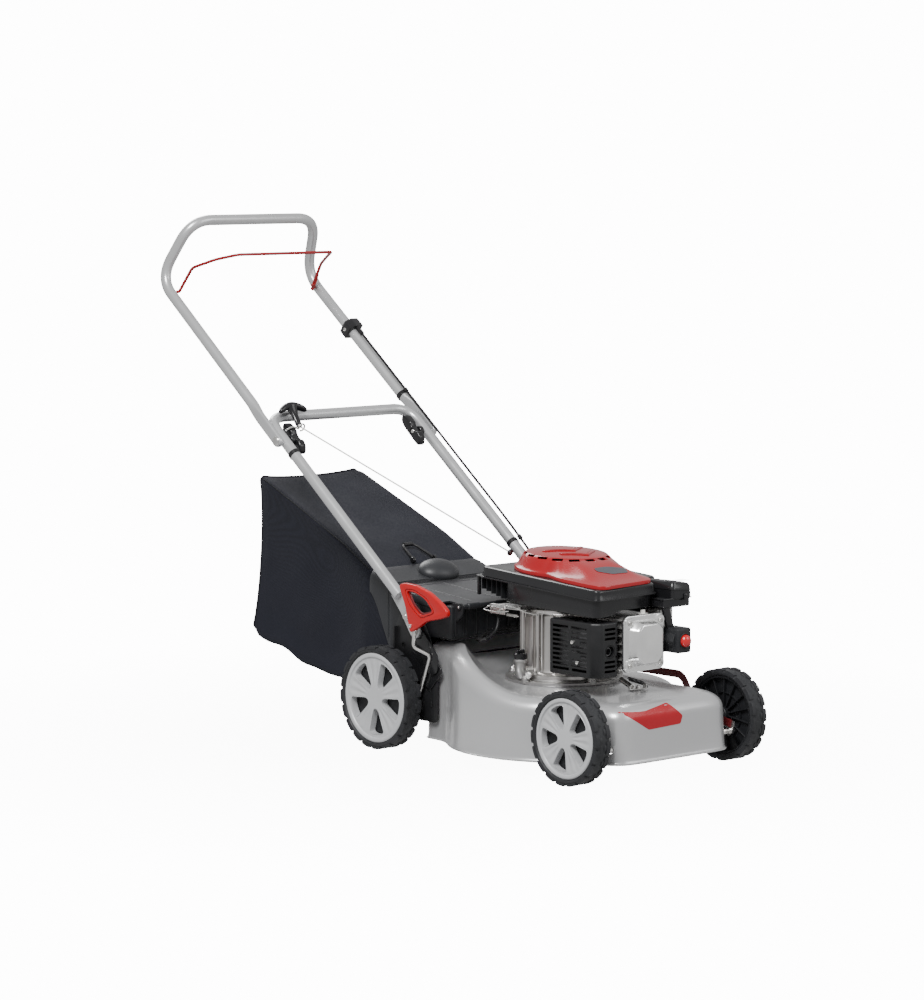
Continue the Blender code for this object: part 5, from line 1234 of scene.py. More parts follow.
def make_upper_tubes():
    """The upper handle with flattened ends, its fold pins and its quick levers."""
    path = [on_leg(-UPPER_X, 0.118), Vector((-0.1952, 0.9702, 0.885)), Vector((-0.1642, 0.9037, 1.0053)),
            Vector((0.1642, 0.9037, 1.0053)), Vector((0.1952, 0.9702, 0.885)), on_leg(UPPER_X, 0.118)]
    pieces = [sweep(rounded(path, 0.05, 14), TUBE_R, 36)]
    for side in (-1, 1):
        rings = []
        for k in range(15):
            along = 0.1185 - k * 0.0045
            t = smoothstep(k / 12)
            centre = on_leg(side * (UPPER_X + 0.0057 * t), along)
            rings.append(oval(centre, TUBE_R - 0.006 * t, TUBE_R + 0.0008 * t, 2.0 + 3.0 * t))
        rings.append(oval(on_leg(side * 0.203, 0.0), 0.005, 0.0118, 5.0))
        for degrees in (15, 30, 45, 60, 75, 88):
            angle = math.radians(degrees)
            rings.append(oval(on_leg(side * 0.203, -0.0118 * math.sin(angle)), 0.005,
                              0.0118 * math.cos(angle) + 1e-4, 5.0))
        pieces.append(loft(rings))
    finish_piece(together(*pieces), "upper_tubes", "handle_paint", "folding_handle", ("upper_handle",),
                 40.0)
    for name, side in SIDES:
        bolt = turned([(0.0, 0.0), (0.0034, 0.0), (0.0034, 0.0422), (0.0094, 0.0422), (0.0098, 0.043),
                       (0.008, 0.0452), (0.0045, 0.0466), (0.0, 0.047)], (0.166, FOLD.y, FOLD.z), "X", 40)
        if side < 0:
            mirrored(bolt)
        finish_piece(bolt, "fold_pin_" + name, "bright_steel", "folding_handle", ("fold_bolt_" + name,))
        outline = [(0.044, 0.001), (0.0425, 0.008), (0.034, 0.0118), (0.016, 0.0118), (0.008, 0.0062),
                   (-0.006, 0.0062), (-0.012, 0.011), (-0.024, 0.0075), (-0.032, -0.002), (-0.0325, -0.01),
                   (-0.025, -0.0122), (-0.012, -0.012), (0.006, -0.0112), (0.026, -0.01), (0.038, -0.006)]
        points = [on_leg(0, along, off).yz for along, off in outline]
        lever = side_slab(round_outline(points, 0.003, 4), side, 0.149, 0.165, 0.003, 4)
        saddle = rod((side * 0.1698, FOLD.y, FOLD.z), 0.01, 0.0096, "X", 36, 0.001)
        cut(lever, rod((side * 0.1485, FOLD.y, FOLD.z), 0.0062, 0.006, "X", 32))
        finish_piece(together(lever, saddle), "cam_lever_" + name, "black_plastic", name + "_quick_lever",
                     ("quick_lever_" + name,), 34.0)
        pin = rod((side * 0.152, FOLD.y, FOLD.z), 0.0045, 0.004, "X", 28, 0.0008)
        finish_piece(pin, "cam_pin_" + name, "bright_steel", name + "_quick_lever")


def make_bail_rod():
    """The red bail under the grip, with its arm and stub at the left leg."""
    half = [Vector((-0.1835, 0.93, 0.859)), Vector((-0.177, 0.93, 0.859)), Vector((-0.1705, 0.894, 0.909)),
            Vector((-0.148, 0.846, 0.9265)), Vector((-0.123, 0.8025, 0.937))]
    path = half + [Vector((-p.x, p.y, p.z)) for p in reversed(half)]
    bar = sweep(rounded(path, 0.0085, 8), 0.0032, 20)
    arm = slab(round_outline([(0.935, 0.854), (0.926, 0.85), (0.914, 0.87), (0.906, 0.887),
                              (0.912, 0.8895), (0.924, 0.874)], 0.003, 3), 0.1745, 0.1762, "X", 0.0004, 1)
    stub = rod((0.172, 0.9215, 0.864), 0.003, 0.007, "X", 20, 0.0006)
    finish_piece(together(bar, arm, stub), "bail_rod", "red_paint", "brake_bail", ("bail",), 40.0)


def make_cables():
    """The brake cable from its block on the handle, over the fold and down to the engine."""
    anchor_rings = []
    for along, grow in ((0.306, 0.0), (0.3068, 0.0012), (0.323, 0.0012), (0.3292, 0.0006), (0.33, 0.0)):
        outline = [(0.1812 - grow, -0.0138 - grow), (0.2113 + grow, -0.0138 - grow),
                   (0.2113 + grow, 0.0205 + grow * 0.5), (0.1925 - grow, 0.0205 + grow * 0.5),
                   (0.1812 - grow, 0.0125)]
        anchor_rings.append([on_leg(x, along, off) for x, off in round_outline(outline, 0.0030, 4)])
    block = loft(anchor_rings)
    guide = cable_clip(CABLE_X, CABLE_OFF, ((0.285, 0.0036), (0.286, 0.0046), (0.308, 0.0052)))
    finish_piece(together(block, guide), "cable_block", "black_plastic", "folding_handle",
                 ("cable_anchor",), 34.0)
    face = screw((0.1812, 0, 0), "X", 0.0042, 0.0026, -1)
    face.data.transform(Matrix.Translation(on_leg(0, 0.318, 0.0)))
    finish_piece(face, "cable_block_screw", "bright_steel", "folding_handle")
    upper = sweep([on_leg(CABLE_X, 0.04 + k * 0.0277, CABLE_OFF) for k in range(11)], CABLE_R, 16)
    finish_piece(upper, "cable_upper", "rubber", "folding_handle", ("brake_cable_upper",))
    tie = leg_plug(on_leg(UPPER_X, 0.108))
    clip = cable_clip(CABLE_X, CABLE_OFF - 0.0005, ((0.1035, 0.003), (0.104, 0.0044), (0.112, 0.0044),
                                                    (0.1125, 0.003)))
    finish_piece(together(tie, clip), "cable_tie_upper", "black_plastic", "folding_handle")
    bend = sweep([on_leg(CABLE_X, -0.0397 + k * 0.0041, CABLE_OFF) for k in range(20)], CABLE_R, 16)
    finish_piece(bend, "cable_bend", "rubber", None, ("brake_cable_bend",))
    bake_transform(bend)
    route = [on_leg(CABLE_X, along, CABLE_OFF) for along in (-0.04, -0.15, -0.26)]
    route += [Vector(p) for p in ((0.196, 0.299, 0.374), (0.188, 0.23, 0.322), (0.18, 0.178, 0.295),
                                  (0.174, 0.142, 0.279), (0.162, 0.106, 0.264), (0.132, 0.096, 0.25),
                                  (0.08, 0.098, 0.242), (0.02, 0.1, 0.237), (-0.04, 0.101, 0.233),
                                  (-0.085, 0.1, 0.229), (-0.112, 0.086, 0.223), (-0.118, 0.06, 0.226),
                                  (-0.112, 0.038, 0.244), (-0.101, 0.042, 0.266), (-0.0995, 0.052, 0.282))]
    lower = sweep(smooth_route(route, 10), CABLE_R, 16)
    finish_piece(lower, "cable_lower", "rubber", "root", ("brake_cable_lower",))
    tie = leg_plug(on_leg(LOWER_X, -0.338))
    clip = cable_clip(0.1968, CABLE_OFF, ((-0.3425, 0.003), (-0.342, 0.0046), (-0.334, 0.0046),
                                          (-0.3335, 0.003)))
    finish_piece(together(tie, clip), "cable_tie_lower", "black_plastic")
    ferrule = rod((-0.0995, 0.052, 0.28), 0.0036, 0.01, "Z", 24, 0.0008)
    sleeve = sweep(smooth_route([(-0.112, 0.086, 0.223), (-0.1185, 0.07, 0.2235), (-0.118, 0.056, 0.228)],
                                6), 0.0034, 20)
    finish_piece(together(ferrule, sleeve), "cable_end", "dark_steel")


def make_starter_pull():
    """The taut starter rope, its eye, the wire eyelet on the handle and the T grip."""
    top, foot = Vector((-0.14, 0.588, 0.601)), Vector((-0.056, 0.056, 0.387))
    lean = Vector((0.0, 0.559, 0.829))
    along = (top - foot).normalized()
    rope = sweep([foot + (top - along * 0.005 - foot) * (k / 30) for k in range(31)], 0.0017, 12)
    finish_piece(rope, "starter_cord", "rope", "root", ("starter_rope",))
    eye = turned([(0.002, -0.003), (0.006, -0.003), (0.0072, 0.0), (0.006, 0.0024), (0.0034, 0.003),
                  (0.002, 0.002)], (0, 0, 0), "Z", 32)
    moved(eye, aimed(foot + along * 0.002, along))
    finish_piece(eye, "rope_eye", "black_plastic")
    side = Vector((1, 0, 0))
    up = along.cross(side).normalized()
    centre = top - along * 0.006
    ring = []
    for i in range(25):
        angle = math.radians(-200 + 300 * i / 24)
        ring.append(centre + side * math.cos(angle) * 0.0075 + up * math.sin(angle) * 0.0075)
    tail = [Vector((-0.16, 0.585, 0.601)), on_leg(-0.18, 0.015, 0.0135)]
    finish_piece(sweep(smooth_route(ring[::-2] + tail, 4), 0.0018, 14), "rope_eyelet", "bright_steel",
                 "root", ("rope_guide",))
    stem = turned([(0.0, 0.0), (0.006, 0.0), (0.007, 0.0015), (0.0072, 0.014), (0.008, 0.028),
                   (0.0115, 0.039), (0.015, 0.045), (0.0, 0.048)], (0, 0, 0), "Z", 36)
    stem.data.transform(Matrix.Diagonal((1.0, 0.72, 1.0, 1.0)))
    rings = []
    for k in range(25):
        t = k / 24 * 2 - 1
        x = 0.035 * t
        z = 0.047 - 0.0105 * t * t + 0.0012 * math.cos(t * math.pi)
        thick = 0.0082 * (1 - abs(t) ** 5 * 0.55)
        deep = 0.0088 * (1 - abs(t) ** 4 * 0.45)
        if abs(t) > 0.97:
            thick, deep = thick * 0.55, deep * 0.55
        rings.append([(x, deep * math.cos(math.tau * i / 24),
                       z + thick * math.sin(math.tau * i / 24) * (1.0 if i > 12 else 0.85))
                      for i in range(24)])
    bar = loft(rings)
    grip = together(stem, subdivided(bar, 1))
    place = aimed(top, lean)
    grip.data.transform(place)
    finish_piece(grip, "pull_grip", "black_plastic", "starter_handle", ("starter_grip",), 50.0)
    collar = turned([(0.0022, -0.0022), (0.0052, -0.0022), (0.006, -0.0006), (0.006, 0.0006),
                     (0.0022, 0.0006)], (0, 0, 0), "Z", 28)
    collar.data.transform(place)
    finish_piece(collar, "pull_collar", "bright_steel", "starter_handle")


# ---------------------------------------------------------------- rear of the deck
HINGE_Y, HINGE_Z = 0.0985, 0.2861
FLAP_PLACE = Matrix.Translation((0, HINGE_Y, HINGE_Z)) @ Matrix.Rotation(math.radians(5.1), 4, "X")
KNUCKLES_X = (-0.115, -0.04, 0.04, 0.115)


def make_chute():
    """The discharge duct, the flap's lugs and its hinge pin."""
    shell = box((-0.158, 0.1902, 0.092), (0.158, 0.286, 0.287), 0.004, 3)
    hood = box((-0.158, 0.112, 0.2215), (0.158, 0.2, 0.287), 0.004, 3)
    fused(shell, hood)
    cut(shell, box((-0.14, 0.18, 0.0955), (0.14, 0.3, 0.2835), 0.003, 2),
        box((-0.154, 0.116, 0.2255), (0.154, 0.179, 0.2835), 0.003, 2))
    lugs = []
    for side in (-1, 1):
        outline = round_outline([(0.13, 0.286), (0.113, 0.2935), (0.09, 0.2935), (0.09, 0.27),
                                 (0.1125, 0.256), (0.13, 0.256)], 0.011, 6)
        lugs.append(side_slab(outline, side, 0.1445, 0.149, 0.0008))
        lugs.append(rod((side * 0.1505, HINGE_Y, HINGE_Z), 0.0052, 0.004, "X", 32, 0.0008))
    ribs = [box((-0.15 + k * 0.0272, 0.1095, 0.228), (-0.1482 + k * 0.0272, 0.113, 0.282), 0.0005, 1)
            for k in range(12)]
    finish_piece(together(shell, *lugs, *ribs), "chute_shell", "dark_plastic", "root",
                 ("discharge_chute",), 32.0)
    pin = rod((0, HINGE_Y, HINGE_Z), 0.0024, 0.306, "X", 24, 0.0005)
    finish_piece(pin, "flap_pin", "bright_steel", "root", ("flap_rod",))


def make_flap():
    """The rear flap on its hinge barrel, and the spring that closes it."""
    plan = round_outline([(-0.16, 0.0), (0.16, 0.0), (0.16, 0.189), (-0.16, 0.189)], 0.006, 4)
    notches = [box((low, -0.02, -0.03), (high, 0.036, 0.03)) for low,
               high in ((-0.172, -0.1425), (0.1425, 0.172))]
    plate = slab(plan, 0.0018, 0.005, "Z", 0.0012, 3)
    cut(plate, *notches)
    skirts = []
    for side in (-1, 1):
        outline = round_outline([(0.038, 0.004), (0.038, -0.01), (0.052, -0.014), (0.17, -0.006),
                                 (0.188, 0.0), (0.188, 0.004)], 0.006, 4)
        skirts.append(side_slab(outline, side, 0.1583, 0.1606, 0.0006))
    ribs = [sweep([(x, 0.016 + k * 0.02, 0.005) for k in range(9)], 0.0012, 12, 0.6)
            for x in (-0.105, -0.035, 0.035, 0.105)]
    seam = sweep([(-0.15 + k * 0.025, 0.176, 0.005) for k in range(13)], 0.0011, 10, 0.6)
    barrel = rod((0, 0, 0), 0.0052, 0.284, "X", 32, 0.0006)
    knuckles = [rod((x, 0, 0), 0.0066, 0.03, "X", 32, 0.0008) for x in KNUCKLES_X]
    webs = [box((x - 0.015, 0.0, 0.0015), (x + 0.015, 0.012, 0.0045), 0.0008, 1) for x in KNUCKLES_X]
    whole = moved(together(plate, barrel, seam, *skirts, *ribs, *knuckles, *webs), FLAP_PLACE)
    finish_piece(whole, "flap_plate", "flap_plastic", "flap", ("rear_flap",), 34.0)
    wire = coil((0.125, HINGE_Y, HINGE_Z), (-0.00045, 0.0, 0.0), 0.0078, Y_AXIS, Z_AXIS, 73, 9)
    spring = sweep(smooth_route([(0.125, 0.115, 0.279), *wire], 2), 0.0009, 8)
    finish_piece(spring, "flap_spring", "bright_steel")


def make_brackets():
    """Side plates that carry the handle's feet, and the guard beside the height lever."""
    for name, side in SIDES:
        outline = round_outline([(0.14, 0.06), (0.236, 0.06), (0.262, 0.11), (0.262, 0.235),
                                 (0.238, 0.285), (0.196, 0.285), (0.158, 0.215), (0.14, 0.15)], 0.01, 5)
        plate = side_slab(outline, side, 0.1655, 0.1688, 0.0008)
        flange = side_slab(round_outline([(0.258, 0.112), (0.2618, 0.112), (0.2618, 0.236),
                                          (0.258, 0.236)], 0.001, 2), side, 0.166, 0.176, 0.0005, 1)
        bead = sweep([(side * 0.169, 0.156, 0.09), (side * 0.169, 0.16, 0.14), (side * 0.169, 0.184, 0.2)],
                     0.003, 16, 0.5)
        cut(plate, rod((side * 0.167, 0.1986, 0.0765), 0.007, 0.02, "X", 28),
            rod((side * 0.167, 0.238, 0.2), 0.006, 0.02, "X", 28))
        spacers = [rod((side * 0.1719, y, z), 0.0082, 0.006, "X", 32, 0.0006) for y, z in FOOT_BOLTS]
        finish_piece(together(plate, flange, bead, *spacers), "side_plate_" + name, "black_metal", "root",
                     ("handle_bracket_" + name,), 34.0)
    guard = slab(round_outline([(0.13, 0.19), (0.175, 0.235), (0.2, 0.228), (0.178, 0.175), (0.15, 0.15),
                                (0.132, 0.16)], 0.008, 4), -0.1765, -0.174, "X", 0.0008, 2)
    finish_piece(guard, "lever_guard", "black_plastic")


def make_height_lever():
    """The notched sector, the bent lever and its red looped grip."""
    middle = (0.1986, 0.0765)
    edge = []
    for k in range(41):
        angle = math.radians(82 + 50 * k / 40)
        radius = 0.112 + 0.0042 * (0.5 - 0.5 * math.cos(math.tau * 6 * k / 40))
        edge.append((middle[0] + math.cos(angle) * radius, middle[1] + math.sin(angle) * radius))
    edge += arc(middle, 0.06, 132, 82, 12)
    sector = slab(edge, -0.1727, -0.1693, "X", 0.0004, 1)
    finish_piece(sector, "notched_sector", "black_plastic", "root", ("height_sector",), 34.0)
    path = [Vector((-0.1775, 0.1955, 0.0833)), Vector((-0.1775, 0.179, 0.1204)),
            Vector((-0.179, 0.149, 0.19)), Vector((-0.2, 0.1742, 0.2063)), Vector((-0.2, 0.1683, 0.2632))]
    lever = sweep(rounded(path, 0.008, 8), 0.0035, 20)
    finish_piece(lever, "lever_rod", "bright_steel", "rear_wheel_frame", ("height_lever",), 40.0)
    outline = round_outline([(0.176, 0.234), (0.156, 0.244), (0.128, 0.261), (0.086, 0.27), (0.069, 0.276),
                             (0.07, 0.287), (0.086, 0.299), (0.12, 0.317), (0.16, 0.3275), (0.195, 0.329),
                             (0.208, 0.3235), (0.203, 0.312), (0.19, 0.286), (0.183, 0.26)], 0.008, 6)
    hole = [(0.145, 0.27), (0.108, 0.281), (0.13, 0.303), (0.16, 0.314), (0.186, 0.315), (0.172, 0.29)]
    mid = Vector((0.15, 0.2955))

    def grown(amount):
        ring = []
        for p in hole:
            v = Vector(p) - mid
            ring.append(tuple(mid + v * (1 + amount / v.length)))
        return round_outline(ring, 0.01, 6)
    grip = slab(outline, -0.208, -0.1975, "X", 0.0026, 4)
    for low, high in ((-0.212, -0.2058), (-0.1997, -0.19)):
        groove = slab(grown(0.0062), low, high, "X")
        cut(groove, slab(grown(0.004), low - 0.001, high + 0.001, "X"))
        cut(grip, groove)
    cut(grip, slab(grown(0.0), -0.25, -0.15, "X"))
    beveled(grip, 0.0006, 2, 50.0)
    web = slab(grown(0.0004), -0.204, -0.2015, "X")
    cut(web, slab(grown(-0.0045), -0.25, -0.15, "X"))
    finish_piece(grip, "lever_grip", "grip_plastic", "rear_wheel_frame", ("height_grip",), 34.0)
    finish_piece(web, "lever_grip_web", "strap_paint", "rear_wheel_frame")
    pin = screw((-0.208, 0.174, 0.248), "X", 0.0042, 0.0026, -1)
    finish_piece(pin, "lever_grip_bolt", "bright_steel", "rear_wheel_frame")


# ---------------------------------------------------------------- grass bag
BAG_ROWS = [  # y at the top and at the bottom, half widths there, lowest and highest z
    (0.2926, 0.2926, 0.15, 0.15, 0.106, 0.3075), (0.364, 0.36, 0.147, 0.16, 0.101, 0.335),
    (0.46, 0.44, 0.141, 0.165, 0.106, 0.382), (0.6, 0.57, 0.137, 0.17, 0.136, 0.441),
    (0.71, 0.685, 0.134, 0.173, 0.168, 0.487), (0.7284, 0.7014, 0.13, 0.17, 0.182, 0.4915),
]
BAG_ROW_AT = (0.0, 0.16, 0.38, 0.7, 0.96, 1.0)
BAG_RIM = 0.16
SHEET = 0.0012


def bag_row(t):
    """The bag's outline values at t, from the mouth at 0 to the rear at 1."""
    for i in range(len(BAG_ROW_AT) - 1):
        if t <= BAG_ROW_AT[i + 1] or i == len(BAG_ROW_AT) - 2:
            share = (t - BAG_ROW_AT[i]) / (BAG_ROW_AT[i + 1] - BAG_ROW_AT[i])
            return [a + (b - a) * share for a, b in zip(BAG_ROWS[i], BAG_ROWS[i + 1])]


def bag_ring(t, inset=0.0, slack=0.0, corner=0.02, steps=6, fill=14):
    """A cross-section of the bag. slack pulls the panels in between their edges."""
    y_top, y_bottom, half_top, half_bottom, low, high = bag_row(t)
    anchors = []
    for side, top, start in ((1, True, 0), (-1, True, 90), (-1, False, 180), (1, False, 270)):
        half = (half_top if top else half_bottom) - inset - corner
        z = (high - inset - corner) if top else (low + inset + corner)
        anchors.append(arc((side * half, z), corner, start, start + 90, steps))
    ring = []
    for n in range(4):
        ring += anchors[n]
        a, b = Vector(anchors[n][-1]), Vector(anchors[(n + 1) % 4][0])
        normal = Vector((-(b - a).y, (b - a).x)).normalized()
        for k in range(1, fill):
            share = k / fill
            pull = slack * (4 * share * (1 - share)) ** 0.8 * (0.55 if n == 0 else 1.0)
            ring.append(tuple(a + (b - a) * share + normal * pull))
    out = []
    for x, z in ring:
        share = (z - low) / (high - low)
        out.append(Vector((x, y_bottom + (y_top - y_bottom) * share, z)))
    return out


def bag_slack(t):
    """How far the fabric sags in between its edges."""
    return 0.001 + 0.01 * smoothstep((t - BAG_RIM) / 0.3)


def fabric_corner(t):
    """The long edges are folded more sharply away from the mouth."""
    return 0.02 - 0.011 * smoothstep((t - BAG_RIM) / 0.25)


def hem_drop(point, t):
    """The lower edges hang in shallow waves."""
    low, high = bag_row(t)[4:]
    share = min(1.0, max(0.0, (point.z - low) / (high - low)))
    wave = math.sin(t * 15.0 + point.x * 6.0) + 0.5 * math.sin(t * 29.0 + 1.1)
    return 0.0042 * wave * (1 - share) ** 3 * smoothstep((t - BAG_RIM) / 0.12) * smoothstep((1.0 - t) / 0.1)


def crumple(point, t):
    """Soft folds in the fabric, deepest in the middle of each panel."""
    wave = (math.sin(point.x * 41 + point.z * 17 + 0.7) * math.sin(point.y * 23 + point.z * 9)
            + 0.6 * math.sin(point.y * 37 - point.x * 21 + 1.9) * math.sin(point.z * 33 + 0.4))
    return 0.0013 * wave * smoothstep((t - BAG_RIM) / 0.15) * smoothstep((1.0 - t) / 0.12)


def strip_mesh(rings, closed=False):
    """An open sheet through rows of points."""
    bm = bmesh.new()
    rows = [[bm.verts.new(p) for p in ring] for ring in rings]
    count = len(rows[0])
    for first, second in zip(rows, rows[1:]):
        for k in range(count if closed else count - 1):
            n = (k + 1) % count
            bm.faces.new((first[k], second[k], second[n], first[n]))
    return object_from(bm, "strip")


def make_bag_fabric():
    """The bag's wrap and rear panel as two sheets, with their bound seams."""
    steps = 38
    ring_count = len(bag_ring(0.5))
    rings = []
    for k in range(steps + 1):
        t = 0.004 + 0.996 * k / steps
        ring = bag_ring(t, 0.0038 - 0.0022 * smoothstep((t - BAG_RIM * 0.9) / 0.05), bag_slack(t),
                        fabric_corner(t))
        centre = sum(ring, Vector()) / ring_count
        out = []
        for p in ring:
            toward = (centre - p).normalized()
            out.append(p + toward * (0.0014 + crumple(p, t)) - Vector((0, 0, hem_drop(p, t))))
        rings.append(out)
    wrap = strip_mesh(rings, closed=True)
    modified(wrap, "SOLIDIFY", thickness=SHEET, offset=0.0)
    subdivided(wrap, 1)
    finish_piece(wrap, "bag_wrap", "bag_fabric", "bag", ("grass_bag",), 60.0)
    back = bag_ring(1.0, 0.003, bag_slack(1.0), fabric_corner(1.0))
    middle = sum(back, Vector()) / ring_count
    rows = []
    for k in range(9):
        shrink = 1.0 - k / 8 * 0.985
        sag = 0.006 * (1.0 - shrink ** 2)
        row = []
        for p in back:
            ripple = 0.001 * math.sin(p.x * 30 * shrink + p.z * 26 * shrink)
            row.append(middle + (p - middle) * shrink + Vector((0, ripple - sag, 0)))
        rows.append(row)
    rear = mended(strip_mesh(rows, closed=True), fill=lambda co: (co - middle).length < 0.02)
    modified(rear, "SOLIDIFY", thickness=SHEET, offset=0.0)
    subdivided(rear, 1)
    finish_piece(rear, "bag_rear_panel", "bag_fabric", "bag", sharp=60.0)
    piping = sweep(bag_ring(1.0, 0.0026, bag_slack(1.0), fabric_corner(1.0)), 0.0022, 10, closed=True)
    seams = [seam_along(corner) for corner in range(4)]
    binding = finish_piece(together(piping, *seams), "bag_piping", "bag_binding", "bag", sharp=50.0)


def seam_along(corner):
    """A bound seam along one long edge of the bag."""
    path = []
    start = BAG_RIM + 0.03
    for k in range(25):
        t = start + (0.995 - start) * k / 24
        ring = bag_ring(t, 0.0026, bag_slack(t), fabric_corner(t))
        point = ring[corner * len(ring) // 4 + 3]
        path.append(point - Vector((0, 0, hem_drop(point, t))))
    return sweep(path, 0.0016, 8)


def hood_ring(t, drop, inset):
    """A row of the hood: up one side, over the top and down the other side."""
    y_top, y_bottom, half_top, half_bottom, low, high = bag_row(t)
    corner = 0.02
    start = high - inset - corner
    ring = []
    for side, first, last in ((1, 0, 90), (-1, 90, 180)):
        half = half_top - inset - corner
        bend = arc((side * half, start), corner, first, last, 8)
        edge = []
        for k in range(12):
            fall = drop * (1 - k / 12)
            share = (start - fall - low) / (high - low)
            edge.append((side * (half_top - inset + (half_bottom - half_top) * max(0.0, 1 - share) * 0.6),
                         start - fall))
        ring += edge + bend if side > 0 else bend + edge[::-1]
    return [Vector((x, y_bottom + (y_top - y_bottom) * (z - low) / (high - low), z)) for x, z in ring]


def make_bag_hood():
    """The moulded front of the bag: a hood over the top, the frame round the mouth and the raised bulge."""
    rows = []
    for k in range(17):
        t = BAG_RIM * 1.03 * k / 16
        share = k / 16
        drop = 0.112 - 0.088 * smoothstep(share) ** 0.8
        rows.append(hood_ring(t, drop, 0.0004 + 0.001 * smoothstep((share - 0.86) / 0.14)))
    hood = strip_mesh(rows)
    modified(hood, "SOLIDIFY", thickness=0.0024, offset=-1.0)
    beveled(hood, 0.0008, 2, 60.0)
    mouth = loft([bag_ring(t, inset) for t, inset in ((0.0, 0.005), (0.0, 0.0012), (0.004, 0.0004),
                                                      (0.022, 0.0004), (0.026, 0.0012), (0.026, 0.005),
                                                      (0.0, 0.005))], cap=False)
    mended(mouth, weld=True)
    ball = bmesh.new()
    bmesh.ops.create_uvsphere(ball, u_segments=48, v_segments=24, radius=1.0)
    bmesh.ops.scale(ball, vec=(0.046, 0.035, 0.0235), verts=ball.verts)
    bmesh.ops.rotate(ball, cent=(0, 0, 0), matrix=Matrix.Rotation(math.radians(20.9), 3, "X"),
                     verts=ball.verts)
    bmesh.ops.translate(ball, vec=(0, 0.328, 0.3213), verts=ball.verts)
    dome = object_from(ball, "dome")
    finish_piece(together(hood, mouth, dome), "bag_hood", "flap_plastic", "bag", sharp=45.0)
    bead = sweep([p + Vector((0, 0, 0.0006)) for p in hood_ring(0.03, 0.085, 0.0006)], 0.0015, 8)
    finish_piece(bead, "bag_hood_bead", "flap_plastic", "bag", sharp=45.0)
    bosses = []
    for side in (-1, 1):
        boss = turned([(0.0, 0.0), (0.0062, 0.0), (0.0062, 0.004), (0.005, 0.0056), (0.0, 0.006)],
                      (0, 0, 0), "X", 28)
        if side < 0:
            mirrored(boss)
        bosses.append(moved(boss, shift(side * 0.0252, 0.372, 0.3424)))
    finish_piece(together(*bosses), "bag_grip_bosses", "black_plastic", "bag", sharp=45.0)


def make_bag_grip():
    """The wire carrying loop and its sleeve."""
    half = [Vector((-0.025, 0.372, 0.3436)), Vector((-0.025, 0.382, 0.3486)),
            Vector((-0.015, 0.42, 0.3674))]
    path = half + [Vector((-p.x, p.y, p.z)) for p in reversed(half)]
    loop = sweep(rounded(path, 0.012, 8), 0.0028, 20)
    sleeve = sweep([(-0.011 + k * 0.0022, 0.42, 0.3674) for k in range(11)], 0.0042, 24)
    finish_piece(loop, "bag_grip_loop", "black_metal", "bag_grip", ("bag_handle",), 45.0)
    finish_piece(sleeve, "bag_grip_sleeve", "black_plastic", "bag_grip", sharp=45.0)


CAD_LOOK = {"air_filter_element": "foam", "blade": "dark_steel", "blade_adapter": "cast_aluminium",
            "crankshaft": "dark_steel", "flywheel": "cast_aluminium", "link_strap": "strap_paint",
            "spark_plug": "porcelain", "starter_pulley": "black_plastic"}


# ---------------------------------------------------------------- stage
SKY_LIGHT, SKY_SEEN = 0.64, 14.0
FLOOR_FADE = (0.35, 1.35)  # the floor thins out between these distances
LIGHTS = (("key", (-2.6, -1.6, 3.4), 1.4, 260.0), ("fill", (1.6, -3.2, 2.2), 2.2, 50.0),
          ("back", (0.8, 3.0, 2.8), 2.0, 110.0))


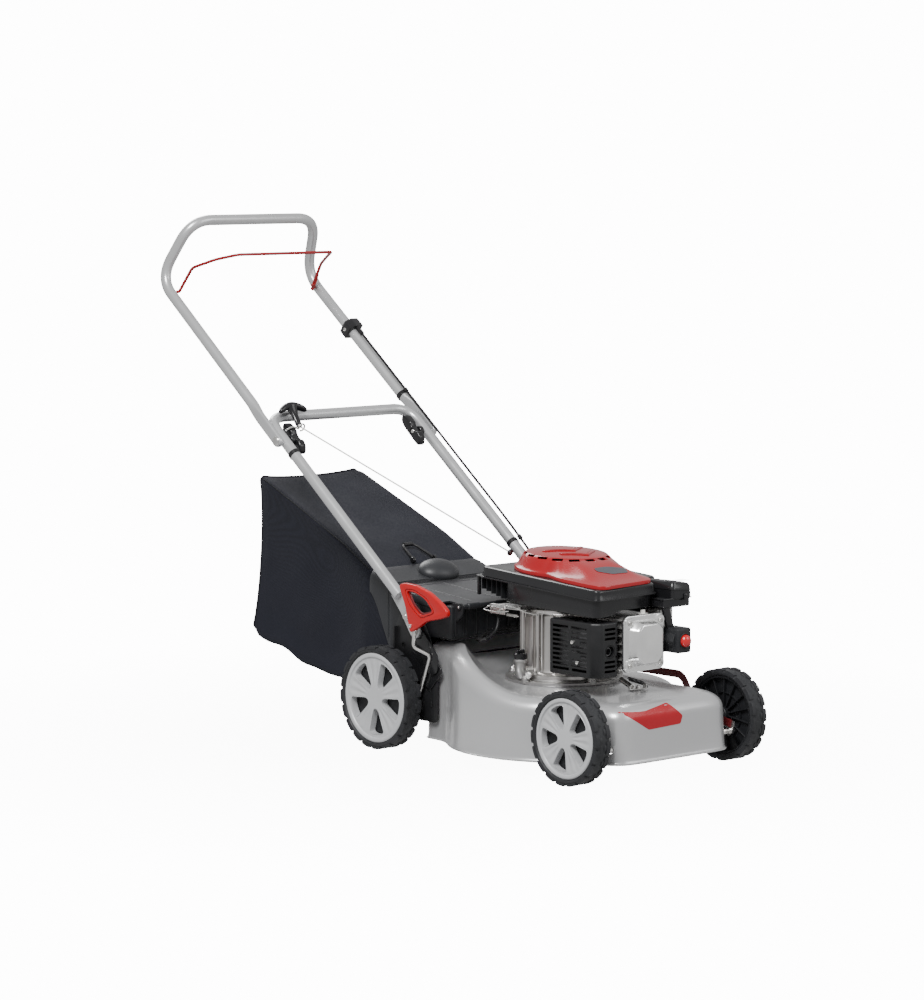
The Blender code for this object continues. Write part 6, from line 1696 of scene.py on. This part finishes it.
def make_stage():
    """A pale floor that fades out, an even white surrounding and three soft lights."""
    bm = bmesh.new()
    bmesh.ops.create_grid(bm, x_segments=1, y_segments=1, size=12.0)
    floor = object_from(bm, "floor")
    floor.location.z = -0.0005
    pale = Surface("pale_floor", (0.94, 0.94, 0.94), 0.65)
    pale.shade(0.8, 0.02)
    far = pale.node("ShaderNodeVectorMath", operation="LENGTH")
    pale.link(pale.place, far.inputs[0])
    fade = pale.mapped(far.outputs["Value"], 0.78, 1.0, *FLOOR_FADE)
    clear = pale.node("ShaderNodeBsdfTransparent")
    blend = pale.node("ShaderNodeMixShader")
    pale.link(fade, blend.inputs[0])
    pale.link(pale.shader.outputs[0], blend.inputs[1])
    pale.link(clear.outputs[0], blend.inputs[2])
    pale.link(blend.outputs[0], pale.tree.nodes["Material Output"].inputs["Surface"])
    floor.data.materials.append(pale.material)
    world = bpy.data.worlds.new("studio")
    world.use_nodes = True
    sky = world.node_tree
    lit = sky.nodes["Background"]
    seen = sky.nodes.new("ShaderNodeBackground")
    for background, strength in ((lit, SKY_LIGHT), (seen, SKY_SEEN)):
        background.inputs["Color"].default_value = (1.0, 1.0, 1.0, 1.0)
        background.inputs["Strength"].default_value = strength
    path = sky.nodes.new("ShaderNodeLightPath")
    choose = sky.nodes.new("ShaderNodeMixShader")
    sky.links.new(path.outputs["Is Camera Ray"], choose.inputs[0])
    sky.links.new(lit.outputs[0], choose.inputs[1])
    sky.links.new(seen.outputs[0], choose.inputs[2])
    sky.links.new(choose.outputs[0], sky.nodes["World Output"].inputs["Surface"])
    bpy.context.scene.world = world
    for name, place, size, power in LIGHTS:
        light = bpy.data.lights.new(name, "AREA")
        light.energy = power
        light.size = size
        holder = bpy.data.objects.new(name, light)
        holder.location = place
        holder.rotation_euler = (Vector((0, 0, 0.35)) - Vector(place)).to_track_quat("-Z", "Y").to_euler()
        bpy.context.scene.collection.objects.link(holder)


def make_camera():
    data = bpy.data.cameras.new("camera")
    data.lens = 127.19
    data.sensor_width = 36.0
    data.clip_end = 100.0
    camera = bpy.data.objects.new("camera", data)
    camera.location = (-4.59061, -5.16935, 1.17795)
    camera.rotation_euler = Vector((0.664, 0.7406, -0.1026)).to_track_quat("-Z", "Y").to_euler()
    bpy.context.scene.collection.objects.link(camera)
    bpy.context.scene.camera = camera


make_camera()
make_stage()


# ---------------------------------------------------------------- the machine
make_wheels()
make_label(make_deck())
make_housing()
make_cover()
make_guard()
make_rocker()
make_block()
make_filter()
make_engine_extras()
make_lower_tubes()
make_upper_tubes()
make_bail_rod()
make_cables()
make_starter_pull()
make_chute()
make_flap()
make_brackets()
make_height_lever()
make_bag_hood()
make_bag_fabric()
make_bag_grip()
for name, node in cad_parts.items():
    if not node.hide_render:
        look = CAD_LOOK.get(name, "bright_steel")
        node.data.materials.clear()
        node.data.materials.append(MATERIALS[look])
        node.data.shade_smooth()
        node.data.set_sharp_from_angle(angle=math.radians(38.0))
